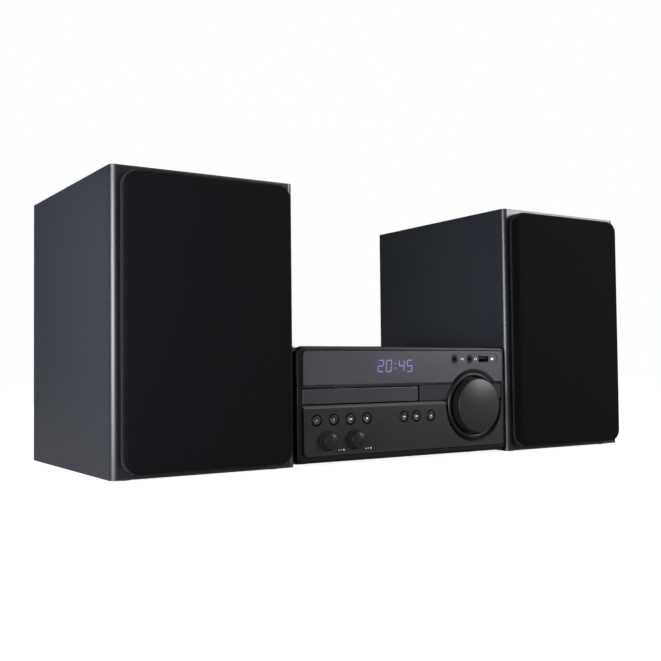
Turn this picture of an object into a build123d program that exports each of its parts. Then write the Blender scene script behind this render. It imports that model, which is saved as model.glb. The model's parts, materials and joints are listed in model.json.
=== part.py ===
from build123d import *

import math
import os

# A mini hifi system: a receiver with a disc player, between two bookshelf speakers.
# Millimetres. X runs to the viewer's right, Y to the back, Z up from the shelf.
# Each unit is modelled with its front face at y = 0 and is placed at the end.

# ---------------------------------------------------------------- driving dimensions
UNIT_GAP = 2.0  # air between the receiver and each speaker
FIT = 0.2  # side clearance of a fixed piece in its seat
SLIP = 0.05  # radial clearance of a running fit

# Receiver body
RECEIVER_WIDTH = 250.0
RECEIVER_BODY_HEIGHT = 105.4
RECEIVER_DEPTH = 235.0
FOOT_HEIGHT = 3.4
FOOT_RADIUS = 9.0
FOOT_INSET = 24.0
SHEET = 1.0  # steel sheet of the case
CHASSIS_LIP = 10.0
VENT_COUNT = 16
VENT_PITCH = 7.0
VENT_WIDTH = 2.6
VENT_LENGTH = 46.0
SCREW_RADIUS = 1.5
SCREW_HEAD_RADIUS = 3.0
SCREW_HEAD_HEIGHT = 1.6
SCREW_LENGTH = 8.0

# Front moulding
BEZEL_DEPTH = 14.0
BEZEL_CORNER = 7.0
BEZEL_EDGE = 3.0
BEZEL_WALL = 2.5
SIDE_BORDER = 6.2
TOP_BORDER = 4.4
BOTTOM_BORDER = 6.4
PANEL_CORNER = 4.0
PANEL_THICKNESS = 3.6
PANEL_PROUD = 2.0  # how far the window and the control panel stand before the moulding
WINDOW_HEIGHT = 33.3
MIDDLE_HEIGHT = 15.8
MIDDLE_RECESS = 0.5  # the middle band's face, behind the moulding's front
FRONT_WALL_BACK = 4.0
PANEL_REVEAL = 0.7  # gap between the moulding and the panels set into it
BAND_GROOVE = 1.2
BAND_GROOVE_DEPTH = 2.6
PANEL_BEVEL = 2.8  # sloping edges above and below the middle band

# Volume control
VOLUME_X = 80.8
VOLUME_BELOW_BAND = 5.2  # knob's centre below the control panel's top edge
ARCH_RADIUS = 36.5
RING_OUTER = 33.2
RING_INNER = 28.4
RING_PROUD = 2.2
VOLUME_RADIUS = 26.8
VOLUME_PROUD = 10.2
VOLUME_EDGE = 1.0
KNOB_WALL = 2.2
KNOB_STEM_RADIUS = 3.0

# Tone controls
TONE_X = (-94.0, -64.0)
TONE_BELOW_BAND = 32.1
TONE_SKIRT_RADIUS = 9.3
TONE_RADIUS = 6.9
TONE_PROUD = 8.6

# Push buttons
BUTTON_BELOW_BAND = 13.4
LEFT_BUTTON_X = -105.6
LEFT_BUTTON_PITCH = 18.3
RIGHT_BUTTON_X = (-7.6, 7.2, 25.1)
BUTTON_RADIUS = 4.2
BUTTON_MOAT = 1.3  # dark gap round each cap
BUTTON_PROUD = 0.6  # cap before the control panel's face
BUTTON_TRAVEL = 0.8
BUTTON_FLANGE = 1.2

# Sockets in the window
SOCKET_BELOW_TOP = 8.0  # below the window's top edge
SOCKET_PILL_X = 81.9
SOCKET_PILL_WIDTH = 62.5
SOCKET_PILL_HEIGHT = 10.8
SOCKET_PILL_DEPTH = 0.5
JACK_X = (56.5, 76.2)
JACK_NOSE_RADIUS = 4.1
JACK_BORE_RADIUS = 1.8
JACK_BODY = 11.0
JACK_LENGTH = 14.0
USB_X = 94.6
USB_OPENING_WIDTH = 12.5
USB_OPENING_HEIGHT = 5.1
USB_SHELL = 0.5
USB_LENGTH = 14.0

# Display
DISPLAY_X = -13.0
DISPLAY_BELOW_TOP = 14.2
DISPLAY_WIDTH = 92.0
DISPLAY_HEIGHT = 24.0
DISPLAY_THICKNESS = 5.0
DISPLAY_RIM = 4.0

# Boards inside the receiver
BOARD = 1.6
CONTROL_BOARD_Y = 12.0
POT_SIZE = 11.0
SWITCH_SIZE = 6.0
MAIN_BOARD_Z = 10.0

# Disc drive
TRAY_X = -53.3
DOOR_WIDTH = 130.0
DOOR_GAP = 1.05  # above and below the door
DOOR_SIDE_GAP = 1.6
DOOR_THICKNESS = 2.7
TRAY_WIDTH = 126.0
TRAY_LENGTH = 164.8
TRAY_BELOW_DOOR = 4.7  # tray's underside below the door's middle
TRAY_HEIGHT = 9.2
TRAY_FLOOR_THICKNESS = 3.0
TRAY_TRAVEL = 135.0
DISC_Y = 72.5
DISC_RECESS_RADIUS = 60.5
SMALL_DISC_RADIUS = 40.5
TRAY_SLOT_WIDTH = 34.0
GEAR_MODULE = 1.5
GEAR_TEETH = 30
GEAR_THICKNESS = 2.0
GEAR_Y = 31.0
RACK_X = 3.5  # pitch line of the rack
BACKLASH = 0.3
FRAME_GAP = 3.7  # under the tray, for the gear
FRAME_FLOOR = 3.5
FRAME_FRONT = 18.0
FRAME_BACK = 185.0
FRAME_RIGHT = 54.0
DECK_DROP = 1.8  # deck under the frame's floor
DECK_SHEET = 1.2
DECK_WIDTH = 56.0
DECK_GAP = 2.0
DECK_PIVOT_Y = 150.0
DECK_PIVOT_RADIUS = 1.5
TURNTABLE_RADIUS = 14.0
TURNTABLE_LIFT = 0.4  # turntable above the tray's floor
SLED_TRAVEL = 34.0
SLED_START = 24.0  # lens from the spindle at rest
SLED_ROD_X = 20.0
SLED_ROD_LIFT = 3.1
SLED_ROD_RADIUS = 1.5
CLAMP_BRIDGE_GAP = 4.1  # above the tray
CLAMP_BRIDGE = 3.0
CLAMP_HUB_RADIUS = 10.5

# Rear sockets
INLET_X = 92.0
INLET_Z = 30.0
ANTENNA_X = -92.0
ANTENNA_Z = 78.0
ANTENNA_RADIUS = 4.7
ANTENNA_LENGTH = 10.0
RCA_RADIUS = 4.15
RCA_LENGTH = 9.0
RCA_PIN_BORE = 1.6
RCA_COLLAR_RADIUS = 5.2  # insulator through the rear panel, which a plug stops on
RECEIVER_RCA_X = (-30.0, -12.0)
RECEIVER_RCA_Z = 28.0

# Speakers
SPEAKER_WIDTH = 168.0
SPEAKER_HEIGHT = 253.0
SPEAKER_DEPTH = 220.0
PAD_HEIGHT = 1.5
PAD_RADIUS = 6.0
PAD_INSET = 16.0
CABINET_WALL = 12.0
CABINET_EDGE = 5.0  # rounding of the front's upright edges
BAFFLE_THICKNESS = 15.0
BAFFLE_LIP = 1.2  # cabinet shown above and below the baffle
GRILLE_SIDE_INSET = 8.0
GRILLE_END_INSET = 4.0
GRILLE_CORNER = 12.0
GRILLE_PROUD = 11.6
GRILLE_EDGE = 3.0
GRILLE_GAP = 0.4
GRILLE_BORDER = 12.0
CLOTH_SIDE = 0.6
CLOTH_FRONT = 0.8
PEG_RADIUS = 3.9
PEG_LENGTH = 8.0
PEG_SIDE_INSET = 16.0
PEG_END_INSET = 14.0
WOOFER_Z = 92.0
WOOFER_FLANGE = 65.0
WOOFER_FLANGE_THICKNESS = 4.0
WOOFER_HOLE = 56.0
WOOFER_DEPTH = 62.0
WOOFER_TRAVEL = 3.0
SURROUND_INNER = 47.5
SURROUND_OUTER = 54.5
SURROUND_SKIN = 0.7
CONE_SKIN = 1.2
FORMER_RADIUS = 13.2
TWEETER_Z = 197.0
TWEETER_RADIUS = 36.0
TWEETER_DOME = 12.5
PORT_Z = 185.0
PORT_BORE = 21.0
PORT_WALL = 3.0
PORT_LENGTH = 100.0
PORT_FLANGE = 30.0
INPUT_Z = 66.0
INPUT_SIZE = 60.0
INPUT_HOLE = 46.0
INPUT_PLATE = 2.5

# ---------------------------------------------------------------- values that follow
BODY_BOTTOM = FOOT_HEIGHT
BODY_TOP = FOOT_HEIGHT + RECEIVER_BODY_HEIGHT
BODY_MIDDLE = (BODY_BOTTOM + BODY_TOP) / 2
PANEL_WIDTH = RECEIVER_WIDTH - 2 * SIDE_BORDER
PANEL_BOTTOM = BODY_BOTTOM + BOTTOM_BORDER
PANEL_TOP = BODY_TOP - TOP_BORDER
WINDOW_BOTTOM = PANEL_TOP - WINDOW_HEIGHT
CONTROL_TOP = WINDOW_BOTTOM - MIDDLE_HEIGHT
PANEL_SEAT = PANEL_THICKNESS - PANEL_PROUD
DOOR_HEIGHT = MIDDLE_HEIGHT - 2 * DOOR_GAP
DOOR_Z = (WINDOW_BOTTOM + CONTROL_TOP) / 2
VOLUME_Z = CONTROL_TOP - VOLUME_BELOW_BAND
TONE_Z = CONTROL_TOP - TONE_BELOW_BAND
BUTTON_Z = CONTROL_TOP - BUTTON_BELOW_BAND
SOCKET_Z = PANEL_TOP - SOCKET_BELOW_TOP
DISPLAY_Z = PANEL_TOP - DISPLAY_BELOW_TOP
TRAY_BOTTOM = DOOR_Z - TRAY_BELOW_DOOR
TRAY_TOP = TRAY_BOTTOM + TRAY_HEIGHT
TRAY_FLOOR = TRAY_BOTTOM + TRAY_FLOOR_THICKNESS
FRAME_TOP = TRAY_BOTTOM - FRAME_GAP
FRAME_BOTTOM = FRAME_TOP - FRAME_FLOOR
DECK_TOP = FRAME_BOTTOM - DECK_DROP
TURNTABLE_TOP = TRAY_FLOOR + TURNTABLE_LIFT
SLED_ROD_Z = DECK_TOP + SLED_ROD_LIFT
CLAMP_BRIDGE_BOTTOM = TRAY_TOP + CLAMP_BRIDGE_GAP
GEAR_RADIUS = GEAR_MODULE * GEAR_TEETH / 2
GEAR_X = RACK_X + GEAR_RADIUS
GEAR_BOTTOM = TRAY_BOTTOM - 0.3 - GEAR_THICKNESS
SPEAKER_X = RECEIVER_WIDTH / 2 + UNIT_GAP + SPEAKER_WIDTH / 2
CASE_FRONT = BEZEL_DEPTH + 0.3
CASE_INSIDE = RECEIVER_WIDTH / 2 - SHEET - FIT
FRONT_MOST = max(VOLUME_PROUD, GRILLE_PROUD)
BACK_MOST = RECEIVER_DEPTH + ANTENNA_LENGTH
Y_CENTRE = (BACK_MOST - FRONT_MOST) / 2
BUTTONS = {
    "power_button": LEFT_BUTTON_X,
    "source_button": LEFT_BUTTON_X + LEFT_BUTTON_PITCH,
    "play_button": LEFT_BUTTON_X + 2 * LEFT_BUTTON_PITCH,
    "stop_button": LEFT_BUTTON_X + 3 * LEFT_BUTTON_PITCH,
    "previous_button": RIGHT_BUTTON_X[0],
    "next_button": RIGHT_BUTTON_X[1],
    "eject_button": RIGHT_BUTTON_X[2],
}


# ---------------------------------------------------------------- shape helpers
def slab(outline, y_from, y_to):
    """An outline drawn in X and Z, thick from y_from to y_to."""
    plane = Plane((0, y_to, 0), x_dir=(1, 0, 0), z_dir=(0, -1, 0))
    return extrude(plane * outline, amount=y_to - y_from)


def plate(outline, z_from, z_to):
    """An outline drawn in X and Y, thick from z_from to z_to."""
    return extrude(Pos(0, 0, z_from) * outline, amount=z_to - z_from)


def block(x_from, x_to, y_from, y_to, z_from, z_to):
    centre = Pos((x_from + x_to) / 2, (y_from + y_to) / 2, (z_from + z_to) / 2)
    return centre * Box(x_to - x_from, y_to - y_from, z_to - z_from)


def rod(x, z, radius, y_from, y_to):
    """A cylinder along Y."""
    return slab(Pos(x, z) * Circle(radius), y_from, y_to)


def post(x, y, radius, z_from, z_to):
    """A cylinder along Z."""
    return plate(Pos(x, y) * Circle(radius), z_from, z_to)


def turned(points, x, z):
    """A body turned about an axis along Y through x and z, from (radius, y) points."""
    profile = Plane.XY * make_face(Polyline(*points, close=True))
    return Pos(x, 0, z) * revolve(profile, Axis.Y)


def front_edges(shape):
    return shape.faces().sort_by(Axis.Y)[0].edges()


def group(*solids):
    """Separate solids that are one node."""
    return Compound([s for item in solids for s in item.solids()])


# ---------------------------------------------------------------- receiver case
def panel_outline(grow=0.0):
    height = PANEL_TOP - PANEL_BOTTOM
    middle = (PANEL_TOP + PANEL_BOTTOM) / 2
    return Pos(0, middle) * RectangleRounded(
        PANEL_WIDTH + 2 * grow, height + 2 * grow, PANEL_CORNER + grow
    )


def band(z_from, z_to):
    return Pos(0, (z_from + z_to) / 2) * Rectangle(RECEIVER_WIDTH, z_to - z_from)


def arch_outline(radius):
    return Pos(VOLUME_X, VOLUME_Z) * Circle(radius)


def arch_cut():
    """The round opening for the volume control: a sloping edge, then a straight wall."""
    wall = ARCH_RADIUS - PANEL_BEVEL
    before = -PANEL_PROUD - 1
    points = [
        (0, before), (ARCH_RADIUS + 1, before), (wall, PANEL_BEVEL - PANEL_PROUD),
        (wall, PANEL_SEAT + 1), (0, PANEL_SEAT + 1),
    ]
    return turned(points, VOLUME_X, VOLUME_Z)


def front_bezel():
    outer = Pos(0, BODY_MIDDLE) * RectangleRounded(
        RECEIVER_WIDTH, RECEIVER_BODY_HEIGHT, BEZEL_CORNER
    )
    inner = Pos(0, BODY_MIDDLE) * RectangleRounded(
        RECEIVER_WIDTH - 2 * BEZEL_WALL,
        RECEIVER_BODY_HEIGHT - 2 * BEZEL_WALL,
        BEZEL_CORNER - BEZEL_WALL,
    )
    shell = slab(outer, 0, BEZEL_DEPTH)
    shell = fillet(front_edges(shell), BEZEL_EDGE)
    shell -= slab(inner, FRONT_WALL_BACK, BEZEL_DEPTH)
    seat = panel_outline(PANEL_REVEAL)
    shell -= slab(seat & band(WINDOW_BOTTOM, PANEL_TOP + PANEL_REVEAL), 0, PANEL_SEAT)
    shell -= slab(seat & band(PANEL_BOTTOM - PANEL_REVEAL, CONTROL_TOP), 0, PANEL_SEAT)
    groove = seat & band(CONTROL_TOP, CONTROL_TOP + BAND_GROOVE)
    shell -= slab(groove, 0, BAND_GROOVE_DEPTH)
    shell -= slab(seat & band(CONTROL_TOP, WINDOW_BOTTOM), 0, MIDDLE_RECESS)
    shell -= slab(seat & arch_outline(ARCH_RADIUS - PANEL_BEVEL), 0, PANEL_SEAT)
    # openings: tray slot, display, sockets, knob stems and buttons
    slot = Pos(TRAY_X, DOOR_Z) * Rectangle(
        DOOR_WIDTH + 2 * DOOR_SIDE_GAP, DOOR_HEIGHT + 2 * DOOR_GAP
    )
    shell -= slab(slot, 0, FRONT_WALL_BACK)
    aperture = Pos(DISPLAY_X, DISPLAY_Z) * Rectangle(
        DISPLAY_WIDTH - 2 * DISPLAY_RIM, DISPLAY_HEIGHT - 2 * DISPLAY_RIM
    )
    shell -= slab(aperture, 0, FRONT_WALL_BACK)
    for x in JACK_X:
        shell -= rod(x, SOCKET_Z, JACK_NOSE_RADIUS + FIT, 0, FRONT_WALL_BACK)
    shell -= slab(usb_outline(FIT), 0, FRONT_WALL_BACK)
    shell -= rod(VOLUME_X, VOLUME_Z, KNOB_STEM_RADIUS + 1, 0, FRONT_WALL_BACK)
    for x in TONE_X:
        shell -= rod(x, TONE_Z, KNOB_STEM_RADIUS + 1, 0, FRONT_WALL_BACK)
    for x in BUTTONS.values():
        shell -= rod(x, BUTTON_Z, BUTTON_RADIUS + FIT, 0, FRONT_WALL_BACK)
    # tongues that hold the moulding on the chassis floor
    for x in (-RECEIVER_WIDTH / 3, RECEIVER_WIDTH / 3):
        shell += block(
            x - 8, x + 8, FRONT_WALL_BACK, CASE_FRONT + 12,
            BODY_BOTTOM + SHEET + 0.1, BODY_BOTTOM + SHEET + BEZEL_WALL,
        )
    return shell


def usb_outline(grow=0.0):
    return Pos(USB_X, SOCKET_Z) * Rectangle(
        USB_OPENING_WIDTH + 2 * USB_SHELL + 2 * grow,
        USB_OPENING_HEIGHT + 2 * USB_SHELL + 2 * grow,
    )


def straight_edge(shape, z_edge):
    """The front face's straight edge at that height."""
    return ShapeList(
        edge for edge in front_edges(shape)
        if edge.geom_type == GeomType.LINE and abs(edge.center().Z - z_edge) < 0.01
    )


def display_window():
    outline = panel_outline() & band(WINDOW_BOTTOM, PANEL_TOP)
    window = slab(outline, -PANEL_PROUD, PANEL_SEAT)
    window = chamfer(straight_edge(window, WINDOW_BOTTOM), PANEL_BEVEL) - arch_cut()
    pill = Pos(SOCKET_PILL_X, SOCKET_Z) * SlotOverall(SOCKET_PILL_WIDTH, SOCKET_PILL_HEIGHT)
    window -= slab(pill, -PANEL_PROUD, -PANEL_PROUD + SOCKET_PILL_DEPTH)
    for x in JACK_X:
        window -= rod(x, SOCKET_Z, JACK_NOSE_RADIUS + FIT, -PANEL_PROUD, PANEL_SEAT)
    window -= slab(usb_outline(FIT), -PANEL_PROUD, PANEL_SEAT)
    return window


def control_panel():
    outline = panel_outline() & band(PANEL_BOTTOM, CONTROL_TOP)
    panel = slab(outline, -PANEL_PROUD, PANEL_SEAT)
    panel = chamfer(straight_edge(panel, CONTROL_TOP), PANEL_BEVEL) - arch_cut()
    for x in BUTTONS.values():
        panel -= rod(x, BUTTON_Z, BUTTON_RADIUS + BUTTON_MOAT, -PANEL_PROUD, PANEL_SEAT)
    for x in TONE_X:
        panel -= rod(x, TONE_Z, KNOB_STEM_RADIUS + 1, -PANEL_PROUD, PANEL_SEAT)
    return panel


def chassis_base():
    back = RECEIVER_DEPTH - SHEET - FIT
    floor = BODY_BOTTOM + SHEET
    base = block(-CASE_INSIDE, CASE_INSIDE, CASE_FRONT, back, BODY_BOTTOM, floor)
    for side in (-1, 1):
        inner, outer = sorted((side * (CASE_INSIDE - SHEET), side * CASE_INSIDE))
        base += block(inner, outer, CASE_FRONT, back, floor, floor + CHASSIS_LIP)
    for x, z in case_screw_places():
        if z < BODY_MIDDLE:
            base += screw_tab(x, z, floor, z + 5)
    for x, y in foot_places():
        base -= post(x, y, SCREW_RADIUS + FIT, BODY_BOTTOM - 1, floor + 1)
    return base


def foot_places():
    side = RECEIVER_WIDTH / 2 - FOOT_INSET
    return [
        (x, y)
        for x in (-side, side)
        for y in (CASE_FRONT + FOOT_INSET, RECEIVER_DEPTH - FOOT_INSET)
    ]


def feet():
    made = []
    for x, y in foot_places():
        foot = post(x, y, FOOT_RADIUS, 0, FOOT_HEIGHT - SLIP)
        foot = fillet(foot.faces().sort_by(Axis.Z)[0].edges(), FOOT_HEIGHT / 3)
        pin = post(x, y, SCREW_RADIUS, FOOT_HEIGHT - SLIP, FOOT_HEIGHT + SHEET + 1)
        made.append(foot + pin)
    return group(*made)


def top_cover():
    half = RECEIVER_WIDTH / 2
    low = BODY_BOTTOM + FIT
    outer = block(-half, half, CASE_FRONT, RECEIVER_DEPTH, low, BODY_TOP)
    long_edges = outer.edges().filter_by(Axis.Y).group_by(Axis.Z)[-1]
    outer = fillet(long_edges, 2 * SHEET)
    cover = outer - block(
        -half + SHEET, half - SHEET, CASE_FRONT, RECEIVER_DEPTH, low, BODY_TOP - SHEET
    )
    first = -VENT_PITCH * (VENT_COUNT - 1) / 2
    vent = SlotOverall(VENT_LENGTH, VENT_WIDTH, rotation=90)
    for row_y in (RECEIVER_DEPTH * 0.42, RECEIVER_DEPTH * 0.72):
        for index in range(VENT_COUNT):
            place = Pos(first + index * VENT_PITCH, row_y)
            cover -= plate(place * vent, BODY_TOP - SHEET, BODY_TOP)
    for x, z in case_screw_places():
        if z > BODY_MIDDLE:
            cover += screw_tab(x, z, z - 5, BODY_TOP - SHEET)
    return cover


def screw_tab(x, z, z_from, z_to):
    """A folded tab in front of the rear panel that a case screw goes into."""
    back = RECEIVER_DEPTH - SHEET - FIT
    tab = block(x - 5, x + 5, back - 1.5, back, z_from, z_to)
    return tab - rod(x, z, SCREW_RADIUS + SLIP, back - 1.5, back)


def case_screw_places():
    side = RECEIVER_WIDTH / 2 - 8
    high, low = BODY_TOP - 8, BODY_BOTTOM + 8
    return [(-side, low), (-side, high), (0, high), (side, high), (side, low), (30, low)]


def rear_panel():
    front = RECEIVER_DEPTH - SHEET
    low, high = BODY_BOTTOM + SHEET + FIT, BODY_TOP - SHEET - FIT
    panel = block(-CASE_INSIDE, CASE_INSIDE, front, RECEIVER_DEPTH, low, high)
    for x, z in case_screw_places():
        panel -= rod(x, z, SCREW_RADIUS + SLIP, front, RECEIVER_DEPTH)
    panel -= slab(inlet_outline(FIT), front, RECEIVER_DEPTH)
    panel -= rod(ANTENNA_X, ANTENNA_Z, ANTENNA_RADIUS + FIT, front, RECEIVER_DEPTH)
    for x in RECEIVER_RCA_X:
        panel -= rod(x, RECEIVER_RCA_Z, RCA_COLLAR_RADIUS + FIT, front, RECEIVER_DEPTH)
    return panel


def case_screws():
    made = []
    for x, z in case_screw_places():
        head_back = RECEIVER_DEPTH + SCREW_HEAD_HEIGHT
        head = rod(x, z, SCREW_HEAD_RADIUS, RECEIVER_DEPTH, head_back)
        head = fillet(head.faces().sort_by(Axis.Y)[-1].edges(), SCREW_HEAD_HEIGHT / 2)
        for width, height in ((3.2, 0.8), (0.8, 3.2)):
            cross = Pos(x, z) * Rectangle(width, height)
            head -= slab(cross, head_back - 0.9, head_back)
        made.append(head + rod(x, z, SCREW_RADIUS, RECEIVER_DEPTH - SCREW_LENGTH, RECEIVER_DEPTH))
    return group(*made)


# ---------------------------------------------------------------- receiver controls
def volume_ring():
    """A raised ring round the volume knob, rounded on its crest."""
    middle = (RING_OUTER + RING_INNER) / 2
    half = (RING_OUTER - RING_INNER) / 2
    crest = -RING_PROUD
    shoulder = crest + half
    outline = (
        Line((RING_INNER, PANEL_SEAT), (RING_OUTER, PANEL_SEAT))
        + Line((RING_OUTER, PANEL_SEAT), (RING_OUTER, shoulder))
        + ThreePointArc((RING_OUTER, shoulder), (middle, crest), (RING_INNER, shoulder))
        + Line((RING_INNER, shoulder), (RING_INNER, PANEL_SEAT))
    )
    ring = revolve(make_face(outline), Axis.Y)
    return Pos(VOLUME_X, 0, VOLUME_Z) * ring


def volume_knob():
    back = PANEL_SEAT - 0.7
    rim = -VOLUME_PROUD
    inside = VOLUME_RADIUS - KNOB_WALL
    stem_end = CONTROL_BOARD_Y - 1
    points = [
        (0, rim),
        (VOLUME_RADIUS - VOLUME_EDGE, rim),
        (VOLUME_RADIUS - VOLUME_EDGE * 0.3, rim + VOLUME_EDGE * 0.5),
        (VOLUME_RADIUS, rim + VOLUME_EDGE * 1.2),
        (VOLUME_RADIUS, back),
        (inside, back),
        (inside, rim + KNOB_WALL),
        (2 * KNOB_STEM_RADIUS, rim + KNOB_WALL),
        (2 * KNOB_STEM_RADIUS, back - 1),
        (KNOB_STEM_RADIUS, back - 1),
        (KNOB_STEM_RADIUS, stem_end),
        (0, stem_end),
    ]
    return turned(points, VOLUME_X, VOLUME_Z)


def tone_knob(x):
    back = -PANEL_PROUD - 0.3
    front = -TONE_PROUD
    points = [
        (0, front),
        (TONE_RADIUS - 0.6, front),
        (TONE_RADIUS, front + 0.8),
        (TONE_RADIUS + 0.3, back - 2.6),
        (TONE_SKIRT_RADIUS - 0.8, back - 1.4),
        (TONE_SKIRT_RADIUS, back - 0.6),
        (TONE_SKIRT_RADIUS, back),
        (KNOB_STEM_RADIUS, back),
        (KNOB_STEM_RADIUS, CONTROL_BOARD_Y - 1),
        (0, CONTROL_BOARD_Y - 1),
    ]
    knob = turned(points, x, TONE_Z)
    pointer_z = TONE_Z + TONE_RADIUS - 2.4
    pointer = block(x - 0.4, x + 0.4, front, front + 0.8, pointer_z - 1.6, pointer_z + 1.6)
    return knob - pointer


def button(x):
    front = -PANEL_PROUD - BUTTON_PROUD
    flange = FRONT_WALL_BACK + 0.3
    cap = rod(x, BUTTON_Z, BUTTON_RADIUS, front, flange)
    cap = fillet(front_edges(cap), 0.7)
    dimple = Pos(x, front - 19.7, BUTTON_Z) * Sphere(20)
    collar = rod(x, BUTTON_Z, BUTTON_RADIUS + BUTTON_FLANGE, flange, flange + 1)
    stem = rod(x, BUTTON_Z, 1.5, flange + 1, switch_front() - BUTTON_TRAVEL - 0.1)
    return cap - dimple + collar + stem


def switch_front():
    return CONTROL_BOARD_Y - 3.2


def control_board():
    """The board behind the control panel, with its switches, tone pots and encoder."""
    low = PANEL_BOTTOM + 1
    strip_top = CONTROL_TOP - 3
    right = VOLUME_X + POT_SIZE
    left = LEFT_BUTTON_X - SWITCH_SIZE
    back = CONTROL_BOARD_Y + BOARD
    board = block(left, right, CONTROL_BOARD_Y, back, low, strip_top)
    tab_top = VOLUME_Z + POT_SIZE
    board += block(VOLUME_X - POT_SIZE, right, CONTROL_BOARD_Y, back, strip_top, tab_top)
    pieces = [board]
    half = SWITCH_SIZE / 2
    for x in BUTTONS.values():
        pieces.append(
            block(x - half, x + half, switch_front(), CONTROL_BOARD_Y,
                  BUTTON_Z - half, BUTTON_Z + half)
        )
    centres = [(x, TONE_Z) for x in TONE_X] + [(VOLUME_X, VOLUME_Z)]
    for x, z in centres:
        pot = block(x - POT_SIZE / 2, x + POT_SIZE / 2, FRONT_WALL_BACK + 1,
                    CONTROL_BOARD_Y, z - POT_SIZE / 2, z + POT_SIZE / 2)
        pot -= rod(x, z, KNOB_STEM_RADIUS + SLIP, FRONT_WALL_BACK + 1, CONTROL_BOARD_Y - 0.5)
        pieces.append(pot)
    return group(*pieces)


def display_module():
    half_width, half_height = DISPLAY_WIDTH / 2, DISPLAY_HEIGHT / 2
    front = FRONT_WALL_BACK + FIT
    back = front + DISPLAY_THICKNESS
    left, right = DISPLAY_X - half_width, DISPLAY_X + half_width
    low, high = DISPLAY_Z - half_height, DISPLAY_Z + half_height
    glass = block(left, right, front, back, low, high)
    board = block(left - 2, right + 2, back, back + BOARD, low - 1, high + 1)
    return group(glass, board)


def front_sockets():
    """Two jack sockets and a USB socket on their own small board."""
    nose = -PANEL_PROUD + SOCKET_PILL_DEPTH
    body_front = FRONT_WALL_BACK + FIT
    back = nose + JACK_LENGTH + 2
    half = JACK_BODY / 2
    pieces = []
    for x in JACK_X:
        socket = rod(x, SOCKET_Z, JACK_NOSE_RADIUS, nose, body_front)
        socket += block(x - half, x + half, body_front, back,
                        SOCKET_Z - half, SOCKET_Z + half - 2)
        socket -= rod(x, SOCKET_Z, JACK_BORE_RADIUS, nose, nose + JACK_LENGTH)
        pieces.append(socket)
    shell = slab(usb_outline(), nose, back)
    opening = Pos(USB_X, SOCKET_Z) * Rectangle(USB_OPENING_WIDTH, USB_OPENING_HEIGHT)
    shell -= slab(opening, nose, nose + USB_LENGTH - 2)
    tongue = Pos(USB_X, SOCKET_Z + 1.0) * Rectangle(USB_OPENING_WIDTH - 1.4, 1.8)
    shell += slab(tongue, nose + 1.5, nose + USB_LENGTH - 2)
    pieces.append(shell)
    left = JACK_X[0] - half
    right = USB_X + USB_OPENING_WIDTH
    pieces.append(
        block(left, right, back, back + BOARD, SOCKET_Z - half - 1, SOCKET_Z + half)
    )
    return group(*pieces)


# ---------------------------------------------------------------- receiver boards
def main_board():
    """Tuner and amplifier board, with its parts soldered on and its heat sink."""
    left = -CASE_INSIDE + 14
    right, front = left + 150.0, 108.0
    back = RECEIVER_DEPTH - 8
    top = MAIN_BOARD_Z + BOARD
    pieces = [block(left, right, front, back, MAIN_BOARD_Z, top)]
    for x in (left + 6, right - 6):
        for y in (front + 6, back - 30):
            pieces.append(post(x, y, 3, BODY_BOTTOM + SHEET, MAIN_BOARD_Z))
    for index in range(4):
        pieces.append(post(left + 24 + index * 14, front + 14, 5, top, top + 13))
    pieces.append(block(left + 16, left + 40, front + 34, front + 58, top, top + 3))
    pieces.append(block(right - 70, right - 52, front + 34, front + 52, top, top + 2.5))
    sink_left, sink_right = right - 40, right - 10
    sink = block(sink_left, sink_right, front + 40, front + 44, top, top + 22)
    for index in range(6):
        fin_x = sink_left + 1 + index * 5.4
        sink += block(fin_x, fin_x + 1.6, front + 44, front + 56, top, top + 22)
    pieces.append(sink)
    return group(*pieces)


def power_supply():
    """Mains board with its transformer."""
    right = CASE_INSIDE - 8
    left, front = right - 54.0, 110.0
    back = RECEIVER_DEPTH - 18
    top = MAIN_BOARD_Z + BOARD
    pieces = [block(left, right, front, back, MAIN_BOARD_Z, top)]
    for x in (left + 5, right - 5):
        for y in (front + 5, back - 5):
            pieces.append(post(x, y, 3, BODY_BOTTOM + SHEET, MAIN_BOARD_Z))
    middle = (left + right) / 2
    core = block(middle - 22, middle + 22, front + 12, front + 34, top, top + 38)
    winding = block(middle - 13, middle + 13, front + 4, front + 42, top + 7, top + 31)
    pieces.append(core + winding)
    for index in range(2):
        pieces.append(post(left + 12 + index * 20, front + 56, 7, top, top + 22))
    return group(*pieces)


# ---------------------------------------------------------------- disc drive
def tray_door():
    outline = Pos(TRAY_X, DOOR_Z) * Rectangle(DOOR_WIDTH, DOOR_HEIGHT)
    door = slab(outline, MIDDLE_RECESS, MIDDLE_RECESS + DOOR_THICKNESS)
    return fillet(front_edges(door), 0.5)


def tray_span():
    front = MIDDLE_RECESS + DOOR_THICKNESS
    return front, front + TRAY_LENGTH


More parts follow.
